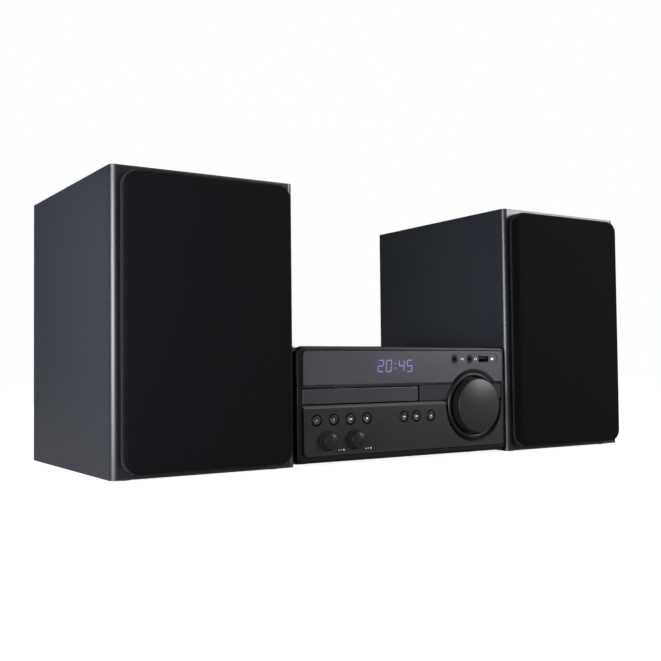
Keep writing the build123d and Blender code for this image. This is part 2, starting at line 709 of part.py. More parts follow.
def cd_tray():
    front, back = tray_span()
    half = TRAY_WIDTH / 2
    tray = block(TRAY_X - half, TRAY_X + half, front, back, TRAY_BOTTOM, TRAY_TOP)
    tray = fillet(tray.edges().filter_by(Axis.Z).group_by(Axis.Y)[-1], 4)
    tray -= post(TRAY_X, DISC_Y, DISC_RECESS_RADIUS, TRAY_FLOOR, TRAY_TOP)
    tray -= post(TRAY_X, DISC_Y, SMALL_DISC_RADIUS, TRAY_FLOOR - 1, TRAY_FLOOR)
    slot = TRAY_SLOT_WIDTH / 2
    tray -= post(TRAY_X, DISC_Y, slot, TRAY_BOTTOM, TRAY_TOP)
    tray -= block(TRAY_X - slot, TRAY_X + slot, DISC_Y, back, TRAY_BOTTOM, TRAY_TOP)
    relief = DISC_Y + DISC_RECESS_RADIUS + 3
    for side in (-1, 1):
        x_near, x_far = sorted((TRAY_X + side * (slot + 3), TRAY_X + side * (half - 5)))
        tray -= block(x_near, x_far, relief, back - 4, TRAY_FLOOR, TRAY_TOP)
    return tray + rack()


def rack():
    """Straight teeth under the tray, facing the gear, with one on the gear's centre line."""
    pitch = math.pi * GEAR_MODULE
    front, back = tray_span()
    root = RACK_X - 1.25 * GEAR_MODULE
    tip = RACK_X + 0.9 * GEAR_MODULE
    slope = math.tan(math.radians(20))
    half_pitch_line = (pitch - BACKLASH) / 4
    half_root = half_pitch_line + (RACK_X - root) * slope
    half_tip = half_pitch_line - (tip - RACK_X) * slope
    first = math.ceil((front + 6 - GEAR_Y) / pitch)
    last = math.floor((back - 4 - GEAR_Y) / pitch)
    start = GEAR_Y + first * pitch - pitch / 2
    end = GEAR_Y + last * pitch + pitch / 2
    outline = Pos(root - 2, (start + end) / 2) * Rectangle(4, end - start)
    for number in range(first, last + 1):
        y = GEAR_Y + number * pitch
        outline += make_face(
            Polyline(
                (root - 0.1, y - half_root), (tip, y - half_tip),
                (tip, y + half_tip), (root - 0.1, y + half_root), close=True,
            )
        )
    return plate(outline, GEAR_BOTTOM, TRAY_BOTTOM)


def tray_gear():
    """A spur gear with involute flanks; a gap faces the rack when the tray is shut."""
    base = GEAR_RADIUS * math.cos(math.radians(20))
    tip = GEAR_RADIUS + 0.9 * GEAR_MODULE
    root = GEAR_RADIUS - 1.25 * GEAR_MODULE

    def involute(radius):
        turn = math.acos(min(1.0, base / radius))
        return math.tan(turn) - turn

    half_pitch_angle = math.pi / (2 * GEAR_TEETH) - BACKLASH / (4 * GEAR_RADIUS)
    radii = [base + (tip - base) * step / 4 for step in range(5)]
    flank = [(r, half_pitch_angle + involute(GEAR_RADIUS) - involute(r)) for r in radii]
    outline = Circle(root)
    for number in range(GEAR_TEETH):
        middle = math.pi + (number + 0.5) * 2 * math.pi / GEAR_TEETH
        points = [(root - 0.2, flank[0][1])] + flank
        side = [(r * math.cos(middle + a), r * math.sin(middle + a)) for r, a in points]
        other = [(r * math.cos(middle - a), r * math.sin(middle - a)) for r, a in points]
        outline += make_face(Polyline(*side, *reversed(other), close=True))
    gear = plate(Pos(GEAR_X, GEAR_Y) * outline, GEAR_BOTTOM, GEAR_BOTTOM + GEAR_THICKNESS)
    gear += post(GEAR_X, GEAR_Y, 6, FRAME_TOP + FIT, GEAR_BOTTOM)
    for number in range(5):
        angle = number * 2 * math.pi / 5
        x, y = GEAR_X + 13 * math.cos(angle), GEAR_Y + 13 * math.sin(angle)
        gear -= post(x, y, 4, GEAR_BOTTOM, GEAR_BOTTOM + GEAR_THICKNESS)
    return gear - post(GEAR_X, GEAR_Y, 3 + SLIP, FRAME_TOP, TRAY_BOTTOM)


def loading_motor():
    """Geared motor under the drive's frame; its shaft carries the tray gear."""
    can = post(GEAR_X, GEAR_Y, 11, FRAME_BOTTOM - 24, FRAME_BOTTOM - 3)
    flange = post(GEAR_X, GEAR_Y, 13, FRAME_BOTTOM - 3, FRAME_BOTTOM)
    shaft = post(GEAR_X, GEAR_Y, 3, FRAME_BOTTOM, GEAR_BOTTOM + GEAR_THICKNESS)
    return can + flange + shaft


def cd_frame():
    """The drive's moulded frame: floor, tray rails, clamp bridge and legs."""
    left = TRAY_X - TRAY_WIDTH / 2 - 5.5
    rail = TRAY_X + TRAY_WIDTH / 2 + 0.5
    floor = block(left, FRAME_RIGHT, FRAME_FRONT, FRAME_BACK, FRAME_BOTTOM, FRAME_TOP)
    opening = DECK_WIDTH / 2 + DECK_GAP
    floor -= block(TRAY_X - opening, TRAY_X + opening, 46, 162, FRAME_BOTTOM, FRAME_TOP)
    floor -= post(GEAR_X, GEAR_Y, 3.5, FRAME_BOTTOM, FRAME_TOP)
    beam = GEAR_Y + GEAR_RADIUS + 2 * GEAR_MODULE + 17
    low_rail_top = TRAY_BOTTOM - FIT
    bridge_top = CLAMP_BRIDGE_BOTTOM + CLAMP_BRIDGE
    floor += block(left, left + 5, FRAME_FRONT, FRAME_BACK, FRAME_TOP, low_rail_top + 11)
    floor += block(left, left + 9, FRAME_FRONT, FRAME_BACK, FRAME_TOP, low_rail_top)
    floor += block(rail, rail + 3, beam, FRAME_BACK, FRAME_TOP, low_rail_top + 11)
    floor += block(rail - 3, rail + 3, beam, FRAME_BACK, FRAME_TOP, low_rail_top)
    floor += block(left, left + 5, beam - 22, beam + 20, low_rail_top + 11, bridge_top)
    floor += block(rail, rail + 3, beam, beam + 20, low_rail_top + 11, bridge_top)
    floor += block(rail, rail + 3, FRAME_FRONT, beam, TRAY_BOTTOM - 0.1, low_rail_top + 11)
    for inner in (left + 5, rail - 3):
        floor += block(inner, inner + 3, FRAME_FRONT, FRAME_FRONT + 20,
                       TRAY_TOP + 0.4, low_rail_top + 11)
    floor += block(
        left, rail + 3, DISC_Y - 17, DISC_Y + 17, CLAMP_BRIDGE_BOTTOM, bridge_top
    )
    floor -= post(TRAY_X, DISC_Y, CLAMP_HUB_RADIUS + 0.5, CLAMP_BRIDGE_BOTTOM, bridge_top)
    pivot_z = deck_pivot_z()
    for side in (-1, 1):
        near = TRAY_X + side * (opening + 0.4)
        far = TRAY_X + side * (opening + 4)
        x_from, x_to = sorted((near, far))
        lug = block(x_from, x_to, DECK_PIVOT_Y - 4, DECK_PIVOT_Y + 4,
                    pivot_z - 4, FRAME_BOTTOM)
        floor += lug - pivot_rod(x_from, x_to, DECK_PIVOT_RADIUS + SLIP)
    for x in (left + 5, FRAME_RIGHT - 5):
        for y in (FRAME_FRONT + 4, FRAME_BACK - 5):
            floor += post(x, y, 4, BODY_BOTTOM + SHEET, FRAME_BOTTOM)
    return floor


def deck_pivot_z():
    return DECK_TOP - DECK_SHEET / 2 - 0.5


def pivot_rod(x_from, x_to, radius):
    """A cylinder along X on the deck's hinge line."""
    outline = Plane((x_from, DECK_PIVOT_Y, deck_pivot_z()), x_dir=(0, 1, 0), z_dir=(1, 0, 0))
    return extrude(outline * Circle(radius), amount=x_to - x_from)


def cd_deck():
    """Swinging deck: steel plate on its hinge pins, spindle motor and guide rods."""
    half = DECK_WIDTH / 2
    front, back = DISC_Y - 18, DECK_PIVOT_Y + 4
    bottom = DECK_TOP - DECK_SHEET
    deck = block(TRAY_X - half, TRAY_X + half, front, back, bottom, DECK_TOP)
    sled_front = DISC_Y + SLED_START - 12
    sled_back = DISC_Y + SLED_START + SLED_TRAVEL + 12
    deck -= block(TRAY_X - 10, TRAY_X + 10, sled_front, sled_back, bottom, DECK_TOP)
    deck -= post(TRAY_X, DISC_Y, 2.5, bottom, DECK_TOP)
    reach = half + DECK_GAP + 3.4
    deck += pivot_rod(TRAY_X - reach, TRAY_X + reach, DECK_PIVOT_RADIUS)
    for x in (TRAY_X - SLED_ROD_X, TRAY_X + SLED_ROD_X):
        for y_from, y_to in ((sled_front - 3.5, sled_front), (sled_back, sled_back + 3.5)):
            ear = block(x - 3, x + 3, y_from, y_to, DECK_TOP, SLED_ROD_Z + 2.7)
            deck += ear - rod(x, SLED_ROD_Z, SLED_ROD_RADIUS, y_from, y_to)
    motor = post(TRAY_X, DISC_Y, 12, bottom - 11, bottom)
    motor += post(TRAY_X, DISC_Y, 2.3, bottom, DECK_TOP + 0.6)
    motor -= post(TRAY_X, DISC_Y, 1 + SLIP, bottom - 8, DECK_TOP + 0.6)
    rods = [
        rod(x, SLED_ROD_Z, SLED_ROD_RADIUS, sled_front - 3.5, sled_back + 3.5)
        for x in (TRAY_X - SLED_ROD_X, TRAY_X + SLED_ROD_X)
    ]
    return group(deck, motor, *rods)


def turntable():
    """The platter that carries the disc, with its cone and its shaft in the motor."""
    platter = post(TRAY_X, DISC_Y, TURNTABLE_RADIUS, TURNTABLE_TOP - 3, TURNTABLE_TOP)
    cone = Pos(TRAY_X, DISC_Y, TURNTABLE_TOP + 0.7) * Cone(7.4, 6.2, 1.4)
    hub = post(TRAY_X, DISC_Y, 4, DECK_TOP + 2, TURNTABLE_TOP - 3)
    shaft = post(TRAY_X, DISC_Y, 1, DECK_TOP - 8, DECK_TOP + 2)
    return platter + cone + hub + shaft


def laser_sled():
    lens_y = DISC_Y + SLED_START
    top = SLED_ROD_Z + 2.7
    body = block(TRAY_X - 24, TRAY_X + 24, lens_y - 11, lens_y + 11, DECK_TOP + 0.4, top)
    for x in (TRAY_X - SLED_ROD_X, TRAY_X + SLED_ROD_X):
        body -= rod(x, SLED_ROD_Z, SLED_ROD_RADIUS + SLIP, lens_y - 11, lens_y + 11)
    body += post(TRAY_X, lens_y, 5.5, top, top + 3)
    body += post(TRAY_X, lens_y, 3, top + 3, top + 4.4)
    return body


def disc_clamp():
    """Magnetic puck that floats in the bridge and holds the disc on the turntable."""
    top = CLAMP_BRIDGE_BOTTOM + CLAMP_BRIDGE
    nose = post(TRAY_X, DISC_Y, 9, TURNTABLE_TOP + 1.7, TRAY_TOP + 0.6)
    pad = post(TRAY_X, DISC_Y, 13, TRAY_TOP + 0.6, CLAMP_BRIDGE_BOTTOM - 0.3)
    hub = post(TRAY_X, DISC_Y, CLAMP_HUB_RADIUS, CLAMP_BRIDGE_BOTTOM - 0.3, top + 0.3)
    cap = post(TRAY_X, DISC_Y, 14, top + 0.3, top + 2)
    return nose + pad + hub + cap


# ---------------------------------------------------------------- rear sockets
def inlet_outline(grow=0.0):
    return Pos(INLET_X, INLET_Z) * RectangleRounded(22 + 2 * grow, 13 + 2 * grow, 1)


def mains_inlet():
    """Figure-eight inlet: a two-lobed well with two pins."""
    back = RECEIVER_DEPTH + 1.5
    body = slab(inlet_outline(), RECEIVER_DEPTH - 16, RECEIVER_DEPTH)
    flange = Pos(INLET_X, INLET_Z) * RectangleRounded(26, 17, 2)
    body += slab(flange, RECEIVER_DEPTH, back)
    well = Pos(INLET_X, INLET_Z) * SlotOverall(17, 9)
    body -= slab(well, RECEIVER_DEPTH - 12, back)
    for side in (-4.3, 4.3):
        body += rod(INLET_X + side, INLET_Z, 1.2, RECEIVER_DEPTH - 12, RECEIVER_DEPTH - 2)
    return body


def antenna_socket():
    """Threaded coaxial aerial socket, shown plain, with its nut."""
    nut = slab(Pos(ANTENNA_X, ANTENNA_Z) * RegularPolygon(7, 6), RECEIVER_DEPTH,
               RECEIVER_DEPTH + 2)
    barrel = rod(ANTENNA_X, ANTENNA_Z, ANTENNA_RADIUS, RECEIVER_DEPTH - SHEET, BACK_MOST)
    bore = rod(ANTENNA_X, ANTENNA_Z, 1.0, RECEIVER_DEPTH, BACK_MOST)
    body = block(ANTENNA_X - 8, ANTENNA_X + 8, RECEIVER_DEPTH - 11, RECEIVER_DEPTH - SHEET,
                 ANTENNA_Z - 8, ANTENNA_Z + 8)
    return nut + barrel + body - bore


def rca_socket(x, z, face):
    """A phono socket whose barrel stands out behind the face."""
    barrel = rod(x, z, RCA_RADIUS, face, face + RCA_LENGTH)
    return barrel - rod(x, z, RCA_PIN_BORE, face + 1, face + RCA_LENGTH)


def speaker_sockets():
    """Two phono sockets for the speaker leads, on one block behind the rear panel."""
    left, right = RECEIVER_RCA_X[0] - 9, RECEIVER_RCA_X[1] + 9
    inner = RECEIVER_DEPTH - SHEET
    body = block(left, right, inner - 10, inner, RECEIVER_RCA_Z - 8, RECEIVER_RCA_Z + 8)
    for x in RECEIVER_RCA_X:
        body += rod(x, RECEIVER_RCA_Z, RCA_COLLAR_RADIUS, inner, RECEIVER_DEPTH)
        body += rca_socket(x, RECEIVER_RCA_Z, RECEIVER_DEPTH)
    return body


# ---------------------------------------------------------------- speakers
def baffle_outline(grow=0.0):
    width = SPEAKER_WIDTH - 2 * CABINET_EDGE + 2 * grow
    height = SPEAKER_HEIGHT - PAD_HEIGHT - 2 * BAFFLE_LIP + 2 * grow
    return Pos(0, (SPEAKER_HEIGHT + PAD_HEIGHT) / 2) * Rectangle(width, height)


def cabinet():
    half = SPEAKER_WIDTH / 2
    shell = block(-half, half, 0, SPEAKER_DEPTH, PAD_HEIGHT, SPEAKER_HEIGHT)
    shell = fillet(shell.edges().filter_by(Axis.Z).group_by(Axis.Y)[0], CABINET_EDGE)
    shell -= slab(baffle_outline(0.1), 0, BAFFLE_THICKNESS + 0.1)
    inner = half - CABINET_WALL
    shell -= block(
        -inner, inner, BAFFLE_THICKNESS, SPEAKER_DEPTH - CABINET_WALL,
        PAD_HEIGHT + CABINET_WALL, SPEAKER_HEIGHT - CABINET_WALL,
    )
    rear = SPEAKER_DEPTH - CABINET_WALL
    shell -= rod(0, PORT_Z, PORT_BORE + PORT_WALL + FIT, rear, SPEAKER_DEPTH)
    hole = Pos(0, INPUT_Z) * Rectangle(INPUT_HOLE, INPUT_HOLE)
    return shell - slab(hole, rear, SPEAKER_DEPTH)


def peg_places():
    side = SPEAKER_WIDTH / 2 - PEG_SIDE_INSET
    return [
        (x, z)
        for x in (-side, side)
        for z in (PAD_HEIGHT + PEG_END_INSET, SPEAKER_HEIGHT - PEG_END_INSET)
    ]


def baffle():
    board = slab(baffle_outline(), 0, BAFFLE_THICKNESS)
    flange = WOOFER_FLANGE_THICKNESS
    for z, wide, hole in (
        (WOOFER_Z, WOOFER_FLANGE, WOOFER_HOLE),
        (TWEETER_Z, TWEETER_RADIUS, TWEETER_RADIUS - 5),
    ):
        board -= rod(0, z, wide + FIT, 0, flange)
        board -= rod(0, z, hole + FIT, flange, BAFFLE_THICKNESS)
    for x, z in peg_places():
        board -= rod(x, z, PEG_RADIUS + 0.3, 0, PEG_LENGTH + 1)
    return board


def grille_outline(shrink=0.0):
    width = SPEAKER_WIDTH - 2 * GRILLE_SIDE_INSET - 2 * shrink
    height = SPEAKER_HEIGHT - PAD_HEIGHT - 2 * GRILLE_END_INSET - 2 * shrink
    return Pos(0, (SPEAKER_HEIGHT + PAD_HEIGHT) / 2) * RectangleRounded(
        width, height, GRILLE_CORNER - shrink
    )


def grille_core(shrink, front_skin):
    core = slab(grille_outline(shrink), -GRILLE_PROUD + front_skin, -GRILLE_GAP)
    return fillet(front_edges(core), GRILLE_EDGE - shrink / 2)


def grille_frame():
    frame = grille_core(CLOTH_SIDE, CLOTH_FRONT)
    middle = (WOOFER_Z + WOOFER_FLANGE + TWEETER_Z - TWEETER_RADIUS) / 2
    inside = grille_outline(GRILLE_BORDER - 2)
    bar = Pos(0, middle) * Rectangle(SPEAKER_WIDTH, 6)
    frame -= slab(inside - bar, -GRILLE_PROUD, 0)
    for x, z in peg_places():
        frame += rod(x, z, PEG_RADIUS + 2.5, -GRILLE_PROUD + 3, -GRILLE_GAP)
        frame += rod(x, z, PEG_RADIUS, -GRILLE_GAP, PEG_LENGTH)
    return frame


def grille_cloth():
    outer = slab(grille_outline(), -GRILLE_PROUD, -GRILLE_GAP)
    outer = fillet(front_edges(outer), GRILLE_EDGE)
    return outer - grille_core(CLOTH_SIDE - 0.05, CLOTH_FRONT - 0.05)


def woofer_basket():
    thick = WOOFER_FLANGE_THICKNESS
    seat_y = WOOFER_DEPTH - 19
    points = [
        (SURROUND_OUTER, 0), (WOOFER_FLANGE, 0), (WOOFER_FLANGE, thick),
        (WOOFER_HOLE - 0.5, thick), (37, seat_y), (FORMER_RADIUS + 1, seat_y),
        (FORMER_RADIUS + 1, seat_y - 3), (34.5, seat_y - 3),
        (SURROUND_OUTER - 1.6, thick), (SURROUND_OUTER, thick - 1),
    ]
    basket = turned(points, 0, WOOFER_Z)
    for number in range(6):
        angle = 30 + number * 60
        window = Pos(0, seat_y / 2 + 3, WOOFER_Z) * Rot(0, angle, 0) * Pos(45, 0, 0)
        basket -= window * Box(50, seat_y - 14, 26)
    return basket


def woofer_magnet():
    seat_y = WOOFER_DEPTH - 19
    points = [
        (0, seat_y - 6), (FORMER_RADIUS - 1.6, seat_y - 6), (FORMER_RADIUS - 1.6, 58),
        (FORMER_RADIUS + 1.4, 58), (FORMER_RADIUS + 1.4, seat_y), (40, seat_y),
        (40, 57), (38, 58), (38, WOOFER_DEPTH - 1), (37, WOOFER_DEPTH), (0, WOOFER_DEPTH),
    ]
    return turned(points, 0, WOOFER_Z)


def woofer_cone():
    """Paper cone on its voice-coil former, and the dust cap over its throat."""
    rim, throat_y = SURROUND_INNER, 24.0
    slope = (throat_y - CONE_SKIN) / (rim - 1.5 - FORMER_RADIUS)
    cap_radius = 17.0
    cap_y = CONE_SKIN / 2 + (rim - 1.5 - cap_radius) * slope
    points = [
        (rim, 0.1), (rim, 0.1 + CONE_SKIN), (rim - 2, 0.1 + CONE_SKIN),
        (FORMER_RADIUS, throat_y + CONE_SKIN), (FORMER_RADIUS, 50),
        (FORMER_RADIUS - 0.6, 50), (FORMER_RADIUS - 0.6, throat_y - 0.5),
        (FORMER_RADIUS, throat_y - CONE_SKIN / 2), (rim - 2, 0.1),
    ]
    cone = turned(points, 0, WOOFER_Z)
    dome = ThreePointArc((0, cap_y - 8), (cap_radius * 0.6, cap_y - 5.4), (cap_radius, cap_y - 0.9))
    under = ThreePointArc((0, cap_y - 7.3), (cap_radius * 0.6, cap_y - 4.7), (cap_radius - 0.4, cap_y - 0.3))
    profile = make_face(
        dome + under + Line((0, cap_y - 8), (0, cap_y - 7.3))
        + Line((cap_radius, cap_y - 0.9), (cap_radius - 0.4, cap_y - 0.3))
    )
    cap = Pos(0, -0.6, WOOFER_Z) * revolve(profile, Axis.Y)
    return group(cone, cap)


def woofer_surround():
    """Half-roll of rubber between the cone's rim and the basket."""
    inner, outer = SURROUND_INNER, SURROUND_OUTER
    middle, half = (inner + outer) / 2, (outer - inner) / 2
    skin = SURROUND_SKIN
    profile = make_face(
        ThreePointArc((inner, 0), (middle, -half), (outer, 0))
        + Line((outer, 0), (outer + 3, 0))
        + Line((outer + 3, 0), (outer + 3, -skin))
        + Line((outer + 3, -skin), (outer + skin, -skin))
        + ThreePointArc((outer + skin, -skin), (middle, -half - skin), (inner - skin, -skin))
        + Line((inner - skin, -skin), (inner - 3, -skin))
        + Line((inner - 3, -skin), (inner - 3, 0))
        + Line((inner - 3, 0), (inner, 0))
    )
    return Pos(0, 0, WOOFER_Z) * revolve(profile, Axis.Y)


def tweeter():
    """Faceplate, soft dome and magnet cup."""
    dome, thick = TWEETER_DOME, WOOFER_FLANGE_THICKNESS
    face = turned(
        [(dome + 1, 2.2), (dome + 8, 0.5), (dome + 10, 0), (TWEETER_RADIUS, 0),
         (TWEETER_RADIUS, thick), (dome + 1, thick)],
        0, TWEETER_Z,
    )
    cup = turned(
        [(0, thick + 0.1), (TWEETER_RADIUS - 6, thick + 0.1), (TWEETER_RADIUS - 6, 22),
         (TWEETER_RADIUS - 8, 24), (0, 24)],
        0, TWEETER_Z,
    )
    profile = make_face(
        ThreePointArc((0, -1.8), (dome * 0.55, -0.5), (dome, 3.0))
        + Line((dome, 3.0), (dome, thick)) + Line((dome, thick), (0, thick))
        + Line((0, thick), (0, -1.8))
    )
    soft = Pos(0, 0, TWEETER_Z) * revolve(profile, Axis.Y)
    return group(face, cup, soft)


def port_tube():
    back = SPEAKER_DEPTH
    outer = PORT_BORE + PORT_WALL
    points = [
        (PORT_BORE, back - PORT_LENGTH), (outer, back - PORT_LENGTH), (outer, back),
        (PORT_FLANGE, back), (PORT_FLANGE, back + 1), (PORT_FLANGE - 1, back + 2),
        (PORT_BORE + 2, back + 2), (PORT_BORE, back - 1),
    ]
    return turned(points, 0, PORT_Z)


def input_plate():
    """Rear plate with its phono socket, and the crossover board behind it."""
    back = SPEAKER_DEPTH + INPUT_PLATE
    outline = Pos(0, INPUT_Z) * RectangleRounded(INPUT_SIZE, INPUT_SIZE, 4)
    face = slab(outline, SPEAKER_DEPTH, back)
    inner = INPUT_HOLE / 2 - FIT
    face += block(-inner, inner, SPEAKER_DEPTH - 6, SPEAKER_DEPTH, INPUT_Z - inner, INPUT_Z + inner)
    face += rca_socket(0, INPUT_Z, back)
    board_back = SPEAKER_DEPTH - 6
    board = block(-inner, inner, board_back - BOARD, board_back, INPUT_Z - inner, INPUT_Z + inner)
    coil = rod(-9, INPUT_Z, 9, board_back - BOARD - 14, board_back - BOARD)
    coil -= rod(-9, INPUT_Z, 4, board_back - BOARD - 14, board_back - BOARD)
    capacitor = rod(12, INPUT_Z + 4, 6, board_back - BOARD - 18, board_back - BOARD)
    return group(face, board, coil, capacitor)


def pads():
    side = SPEAKER_WIDTH / 2 - PAD_INSET
    return group(*[
        post(x, y, PAD_RADIUS, 0, PAD_HEIGHT)
        for x in (-side, side)
        for y in (PAD_INSET, SPEAKER_DEPTH - PAD_INSET)
    ])


# ---------------------------------------------------------------- assembly
RECEIVER_NODES = {
    "chassis_base": chassis_base, "top_cover": top_cover, "rear_panel": rear_panel,
    "case_screws": case_screws, "feet": feet, "front_bezel": front_bezel,
    "display_window": display_window, "control_panel": control_panel,
    "display_module": display_module, "volume_ring": volume_ring,
    "volume_knob": volume_knob, "control_board": control_board,
    "front_sockets": front_sockets, "main_board": main_board,
    "power_supply": power_supply, "cd_frame": cd_frame, "cd_deck": cd_deck,
    "cd_tray": cd_tray, "tray_door": tray_door, "tray_gear": tray_gear,
    "loading_motor": loading_motor, "turntable": turntable, "laser_sled": laser_sled,
    "disc_clamp": disc_clamp, "mains_inlet": mains_inlet,
    "antenna_socket": antenna_socket, "speaker_sockets": speaker_sockets,
}
SPEAKER_NODES = {
    "cabinet": cabinet, "baffle": baffle, "grille_frame": grille_frame,
    "grille_cloth": grille_cloth, "woofer_basket": woofer_basket,
    "woofer_magnet": woofer_magnet, "woofer_cone": woofer_cone,
    "woofer_surround": woofer_surround, "tweeter": tweeter, "port_tube": port_tube,
    "input_plate": input_plate, "pads": pads,
}


def write(name, shape, x=0.0):
    export_step(Pos(x, -Y_CENTRE, 0) * shape, f"parts/{name}.step")


def main():
    os.makedirs("parts", exist_ok=True)
    for name, make in RECEIVER_NODES.items():
        write(name, make())
    write("bass_knob", tone_knob(TONE_X[0]))
    write("treble_knob", tone_knob(TONE_X[1]))
    for name, x in BUTTONS.items():
        write(name, button(x))
    for name, make in SPEAKER_NODES.items():
        shape = make()
        write("left_" + name, shape, -SPEAKER_X)
        write("right_" + name, shape, SPEAKER_X)


main()
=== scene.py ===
"""Looks of a mini hifi system: a disc receiver between two bookshelf speakers. Metres, front towards -Y."""

import json
import math

import bmesh
import bpy
from mathutils import Matrix, Vector


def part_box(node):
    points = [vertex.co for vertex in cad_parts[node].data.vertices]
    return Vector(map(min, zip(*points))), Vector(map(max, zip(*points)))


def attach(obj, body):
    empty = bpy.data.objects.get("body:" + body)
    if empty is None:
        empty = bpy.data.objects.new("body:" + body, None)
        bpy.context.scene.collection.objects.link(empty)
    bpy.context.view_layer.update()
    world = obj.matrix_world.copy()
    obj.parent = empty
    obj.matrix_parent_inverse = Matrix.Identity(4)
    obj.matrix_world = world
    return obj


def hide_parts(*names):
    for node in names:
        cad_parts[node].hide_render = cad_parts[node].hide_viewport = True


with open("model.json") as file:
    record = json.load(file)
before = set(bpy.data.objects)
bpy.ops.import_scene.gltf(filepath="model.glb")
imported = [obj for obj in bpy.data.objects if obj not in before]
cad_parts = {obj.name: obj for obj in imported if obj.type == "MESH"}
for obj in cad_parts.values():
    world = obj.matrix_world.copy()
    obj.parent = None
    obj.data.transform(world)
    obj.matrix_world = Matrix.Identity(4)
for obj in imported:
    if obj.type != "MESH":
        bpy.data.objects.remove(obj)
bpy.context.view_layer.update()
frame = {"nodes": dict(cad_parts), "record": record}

MM = 0.001

# ---------------------------------------------------------------- places on the receiver's front
PANEL_LOW, PANEL_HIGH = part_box("control_panel")
WINDOW_LOW, WINDOW_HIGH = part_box("display_window")
MODULE_LOW, MODULE_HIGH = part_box("display_module")
PANEL_FACE = PANEL_LOW.y
BEZEL_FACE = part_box("front_bezel")[0].y

# The bezel's middle band lies between a groove over the control panel and the window.
BAND_GROOVE = 1.2 * MM
BAND_MARGIN = 0.1 * MM
BAND_FLOOR_DEPTHS = (0.3 * MM, 0.8 * MM)

# The front sockets sit in a long rounded recess in the window.
RECESS_WIDTH, RECESS_HEIGHT, RECESS_DEPTH = 62.5 * MM, 10.8 * MM, 0.5 * MM
RECESS_MIDDLE = Vector((81.9 * MM, PANEL_FACE + RECESS_DEPTH, WINDOW_HIGH.z - 8.0 * MM))

# The lit clock's figures, in millimetres, and the room that they take on the window.
DIGIT_WIDTH, DIGIT_HEIGHT, DIGIT_STROKE = 6.0, 10.6, 0.85
DIGIT_PITCH, COLON_PITCH = 9.4, 5.6
CLOCK_ROW = 4 * DIGIT_PITCH + COLON_PITCH
DIGITS_WIDTH = CLOCK_ROW * MM
DIGITS_HEIGHT = DIGIT_HEIGHT * MM
DIGITS_LEFT_OF_MODULE = 4.2 * MM
DIGITS_BELOW_TOP = 14.2 * MM
DIGITS_MIDDLE = Vector((
    (MODULE_LOW.x + MODULE_HIGH.x) / 2 - DIGITS_LEFT_OF_MODULE,
    PANEL_FACE,
    WINDOW_HIGH.z - DIGITS_BELOW_TOP,
))


# ---------------------------------------------------------------- camera
LENS = 50.77  # this and the sensor in millimetres, as Blender takes them
SENSOR = 36.0
SHIFT = (-0.0042, 0.0074)
CAMERA_FROM_LEFT_SPEAKER = Vector((-252.7, -711.5, 86.1)) * MM
YAW, PITCH, ROLL = math.radians(33.0), math.radians(2.08), math.radians(0.61)


def add_camera():
    """Looks to the right and back, a little up, from in front of the left speaker's outer edge."""
    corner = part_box("left_cabinet")[0]
    flat = math.cos(PITCH)
    ahead = Vector((math.sin(YAW) * flat, math.cos(YAW) * flat, math.sin(PITCH)))
    across = Vector((math.cos(YAW), -math.sin(YAW), 0.0))
    down = -across.cross(ahead)
    right = across * math.cos(ROLL) + down * math.sin(ROLL)
    up = across * math.sin(ROLL) - down * math.cos(ROLL)
    data = bpy.data.cameras.new("front_left_camera")
    data.sensor_width = SENSOR
    data.lens = LENS
    data.shift_x, data.shift_y = SHIFT
    data.clip_start = 10 * MM
    camera = bpy.data.objects.new("front_left_camera", data)
    turn = Matrix((right, up, -ahead)).transposed().to_4x4()
    camera.matrix_world = Matrix.Translation(corner + CAMERA_FROM_LEFT_SPEAKER) @ turn
    bpy.context.scene.collection.objects.link(camera)
    bpy.context.scene.camera = camera


# ---------------------------------------------------------------- node helpers
def put(tree, kind, inputs=None, **settings):
    """A new node with its settings, and its inputs as values or links."""
    made = tree.nodes.new(kind)
    for key, value in settings.items():
        setattr(made, key, value)
    for key, value in (inputs or {}).items():
        if isinstance(value, bpy.types.NodeSocket):
            tree.links.new(value, made.inputs[key])
        else:
            made.inputs[key].default_value = value
    return made


def math_node(tree, operation, *values):
    inputs = dict(enumerate(values))
    return put(tree, "ShaderNodeMath", inputs, operation=operation).outputs[0]


def mix_colours(tree, factor, first, second):
    made = tree.nodes.new("ShaderNodeMix")
    made.data_type = "RGBA"
    for index, value in ((0, factor), (6, first), (7, second)):
        if isinstance(value, bpy.types.NodeSocket):
            tree.links.new(value, made.inputs[index])
        else:
            made.inputs[index].default_value = value
    return made.outputs[2]


def remap(tree, value, low, high, to_low=0.0, to_high=1.0):
    """A value's range taken smoothly to another range."""
    inputs = {0: value, 1: low, 2: high, 3: to_low, 4: to_high}
    return put(tree, "ShaderNodeMapRange", inputs, interpolation_type="SMOOTHSTEP").outputs[0]


def effect_group(name, inputs, outputs):
    """An empty shader node group with named sockets: (tree, its inputs, its output node)."""
    tree = bpy.data.node_groups.new(name, "ShaderNodeTree")
    for label, kind, value in inputs:
        socket = tree.interface.new_socket(label, in_out="INPUT", socket_type=kind)
        socket.default_value = value
    for label, kind in outputs:
        tree.interface.new_socket(label, in_out="OUTPUT", socket_type=kind)
    entry = tree.nodes.new("NodeGroupInput")
    return tree, entry.outputs, tree.nodes.new("NodeGroupOutput")


FLOAT, COLOUR = "NodeSocketFloat", "NodeSocketColor"
GREY = (0.5, 0.5, 0.5, 1.0)


